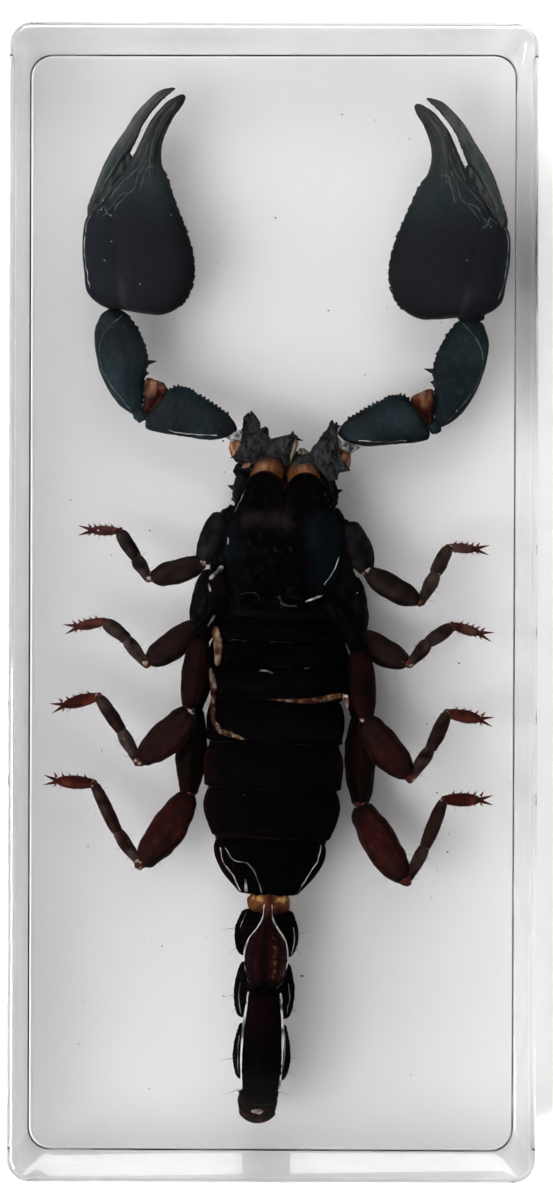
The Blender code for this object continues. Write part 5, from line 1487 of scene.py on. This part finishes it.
def build_specks(air, shell):
    """Tiny bubbles and dust through the resin, and pale grit on the shell."""
    rng = np.random.default_rng(11)
    bubbles, dust = [], []
    for _ in range(60):
        place = (rng.uniform(-29, 29), rng.uniform(-68, 68), rng.uniform(2.0, 22.0))
        radius = rng.uniform(0.04, 0.11)
        bubbles.append(ball(place, (radius,) * 3, SILVER, 8, 10))
    for _ in range(70):
        place = (rng.uniform(-29, 29), rng.uniform(-68, 68), rng.uniform(1.0, 6.0))
        shade = rng.uniform(0.02, 0.2) * np.array((1.0, 0.85, 0.7))
        dust.append(ball(place, rng.uniform(0.04, 0.14, 3), shade, 8, 10, 0.8))
    dust.append(ball((5.0, -49.5, 3.0), (0.3, 0.15, 0.1), (0.35, 0.28, 0.08), 8, 10, 0.8))
    for x, y in GRIT:
        dust.append(ball((x, y, CLAW_HEIGHT + 4.6), (0.10, 0.08, 0.07), (0.32, 0.32, 0.31), 8, 10, 0.6))
    add_piece("bubbles", bubbles, air)
    add_piece("dust", dust, shell)


def build_tail_hairs(shell):
    parts = []
    for (x0, y0), (x1, y1) in TAIL_HAIRS:
        parts.append(spike((x0, y0, TAIL_HEIGHT + 0.5), (x1, y1, TAIL_HEIGHT + 1.6), 0.035, GREY_BROWN, 0.4, 4))
    add_piece("tail_hairs", parts, shell)


# ---- Block, stage and light --------------------------------------------------------------------------------


def rounded(shape, edges, radius, steps):
    bmesh.ops.bevel(shape, geom=edges, offset=radius, segments=steps, profile=0.5, affect="EDGES")


def build_block(resin):
    shape = bmesh.new()
    bmesh.ops.create_cube(shape, size=2.0)
    for vert in shape.verts:
        z = BLOCK_HEIGHT if vert.co.z > 0 else 0.0
        lean = BLOCK_DRAFT * (1 - z / BLOCK_HEIGHT)
        vert.co = (vert.co.x * (BLOCK_WIDTH / 2 - lean), vert.co.y * (BLOCK_LENGTH / 2 - lean), z)
    rounded(shape, [e for e in shape.edges if e.verts[0].co.z != e.verts[1].co.z], BLOCK_CORNER_RADIUS, 12)
    for level, radius, steps in ((BLOCK_HEIGHT, BLOCK_TOP_RADIUS, 10), (0.0, BLOCK_BASE_RADIUS, 4)):
        rim = [edge for edge in shape.edges if all(abs(vert.co.z - level) < 1e-4 for vert in edge.verts)]
        rounded(shape, rim, radius, steps)
    bmesh.ops.scale(shape, vec=(MM, MM, MM), verts=shape.verts)
    mesh = bpy.data.meshes.new("resin_block")
    shape.to_mesh(mesh)
    shape.free()
    mesh.shade_smooth()
    mesh.set_sharp_from_angle(angle=radians(40))
    mesh.materials.append(resin)
    block = bpy.data.objects.new("resin_block", mesh)
    bpy.context.scene.collection.objects.link(block)
    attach(block, "root")
    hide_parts("resin_lower", "resin_upper")


def build_floor():
    bpy.ops.mesh.primitive_plane_add(size=3.0, location=(0, 0, -0.00005))
    floor = bpy.context.object
    floor.name = "floor"
    material, shader, nodes, links = new_material("paper")
    shader.inputs["Base Color"].default_value = (0.92, 0.915, 0.91, 1.0)
    shader.inputs["Roughness"].default_value = 0.9
    shader.inputs["Specular IOR Level"].default_value = 0.0
    floor.data.materials.append(material)


def area_light(name, tilt, azimuth, distance, size, power, colour=(1.0, 1.0, 1.0)):
    light = bpy.data.lights.new(name, "AREA")
    light.shape = "RECTANGLE"
    light.size, light.size_y = size
    light.energy = power
    light.color = colour
    lamp = bpy.data.objects.new(name, light)
    t, a = radians(tilt), radians(azimuth)
    lamp.location = (distance * sin(t) * cos(a), distance * sin(t) * sin(a), distance * cos(t))
    lamp.rotation_euler = (-lamp.location).to_track_quat("-Z", "Y").to_euler()
    bpy.context.scene.collection.objects.link(lamp)


def build_light():
    area_light("key", 51, 193, 0.8, (0.24, 0.06), 10.5)
    area_light("second", 32, 222, 0.8, (0.08, 0.08), 7.0, (0.88, 0.94, 1.0))
    area_light("window", 46, 96, 0.36, (0.22, 0.16), 1.2)
    world = bpy.data.worlds.new("room")
    bpy.context.scene.world = world
    world.use_nodes = True
    nodes, links = world.node_tree.nodes, world.node_tree.links
    background = nodes["Background"]
    where = nodes.new("ShaderNodeTexCoord")
    split = nodes.new("ShaderNodeSeparateXYZ")
    links.new(where.outputs["Generated"], split.inputs["Vector"])
    ramp = nodes.new("ShaderNodeValToRGB")
    stops = ((0.0, 0.2), (0.5, 0.5), (0.8, 1.0), (0.955, 1.2), (0.975, 0.012), (1.0, 0.006))
    ramp.color_ramp.elements[0].position = stops[0][0]
    ramp.color_ramp.elements[0].color = (*(stops[0][1],) * 3, 1.0)
    ramp.color_ramp.elements[1].position = stops[-1][0]
    ramp.color_ramp.elements[1].color = (*(stops[-1][1],) * 3, 1.0)
    for position, value in stops[1:-1]:
        stop = ramp.color_ramp.elements.new(position)
        stop.color = (value, value, value, 1.0)
    links.new(split.outputs["Z"], ramp.inputs["Fac"])
    links.new(ramp.outputs["Color"], background.inputs["Color"])
    slope = nodes.new("ShaderNodeVectorMath")
    slope.operation = "DOT_PRODUCT"
    slope.inputs[1].default_value = ROOM_SLOPE
    links.new(where.outputs["Generated"], slope.inputs[0])
    strength = nodes.new("ShaderNodeMath")
    strength.inputs[1].default_value = ROOM_LIGHT
    links.new(slope.outputs["Value"], strength.inputs[0])
    links.new(strength.outputs["Value"], background.inputs["Strength"])


def build_camera():
    camera = bpy.data.cameras.new("camera")
    camera.lens = 88.5
    eye = bpy.data.objects.new("camera", camera)
    eye.location = (0.000516, 0.00032, 0.404)
    eye.rotation_euler = (0.0, 0.0, radians(0.17))
    bpy.context.scene.collection.objects.link(eye)
    bpy.context.scene.camera = eye


def main():
    black = shell_material("black_shell", 0.35, 0.25, 0.25, 900, 0.002)
    brown = shell_material("leg_shell", 0.38, 0.35, 0.25, 1300, 0.01)
    wine = shell_material("stinger_shell", 0.25, 0.35, 0.2, 1500, 0.01)
    jaws = shell_material("jaw_shell", 0.4, 0.25, 0.2, 1300, 0.02)
    skins = shell_material("joint_skin", 0.5, 0.3, 0.4, 1600, 0.03)
    air = film_material()

    pieces = {"carapace": build_carapace(black), "chest": build_chest(brown)}
    for number in range(1, 8):
        pieces[f"abdomen_ring_{number}"] = build_ring(number, black)
    build_soft_body(skins)
    build_combs(skins)
    for number in TAIL_SEGMENTS:
        pieces[f"tail_segment_{number}"] = build_tail_segment(number, black)
    build_tail_turn(black)
    build_tail_root(skins)
    build_stinger(wine)
    for side_name, side in (("left", -1), ("right", 1)):
        pieces[f"hand_{side_name}"] = build_hand(side_name, side, black)
        pieces[f"finger_{side_name}"] = build_finger(side_name, side, black)
        pieces[f"forearm_{side_name}"] = build_forearm(side_name, side, black)
        pieces[f"upper_arm_{side_name}"] = build_upper_arm(side_name, side, black)
        build_elbow(side_name, side, skins)
        build_shoulder(side_name, side, black, skins)
        build_arm_base(side_name, side, black)
        build_jaw(side_name, side, jaws)
    for name, (plan, half_widths, heights) in LEGS.items():
        pieces[f"leg_{name}"] = build_leg(name, plan, half_widths, heights, brown, skins)
    build_films(pieces, air, black)
    build_specks(air, brown)
    build_tail_hairs(brown)
    build_block(resin_material())
    build_floor()
    build_light()
    build_camera()
    bpy.context.scene.view_settings.view_transform = "Standard"
    bpy.context.scene.cycles.use_denoising = True


main()
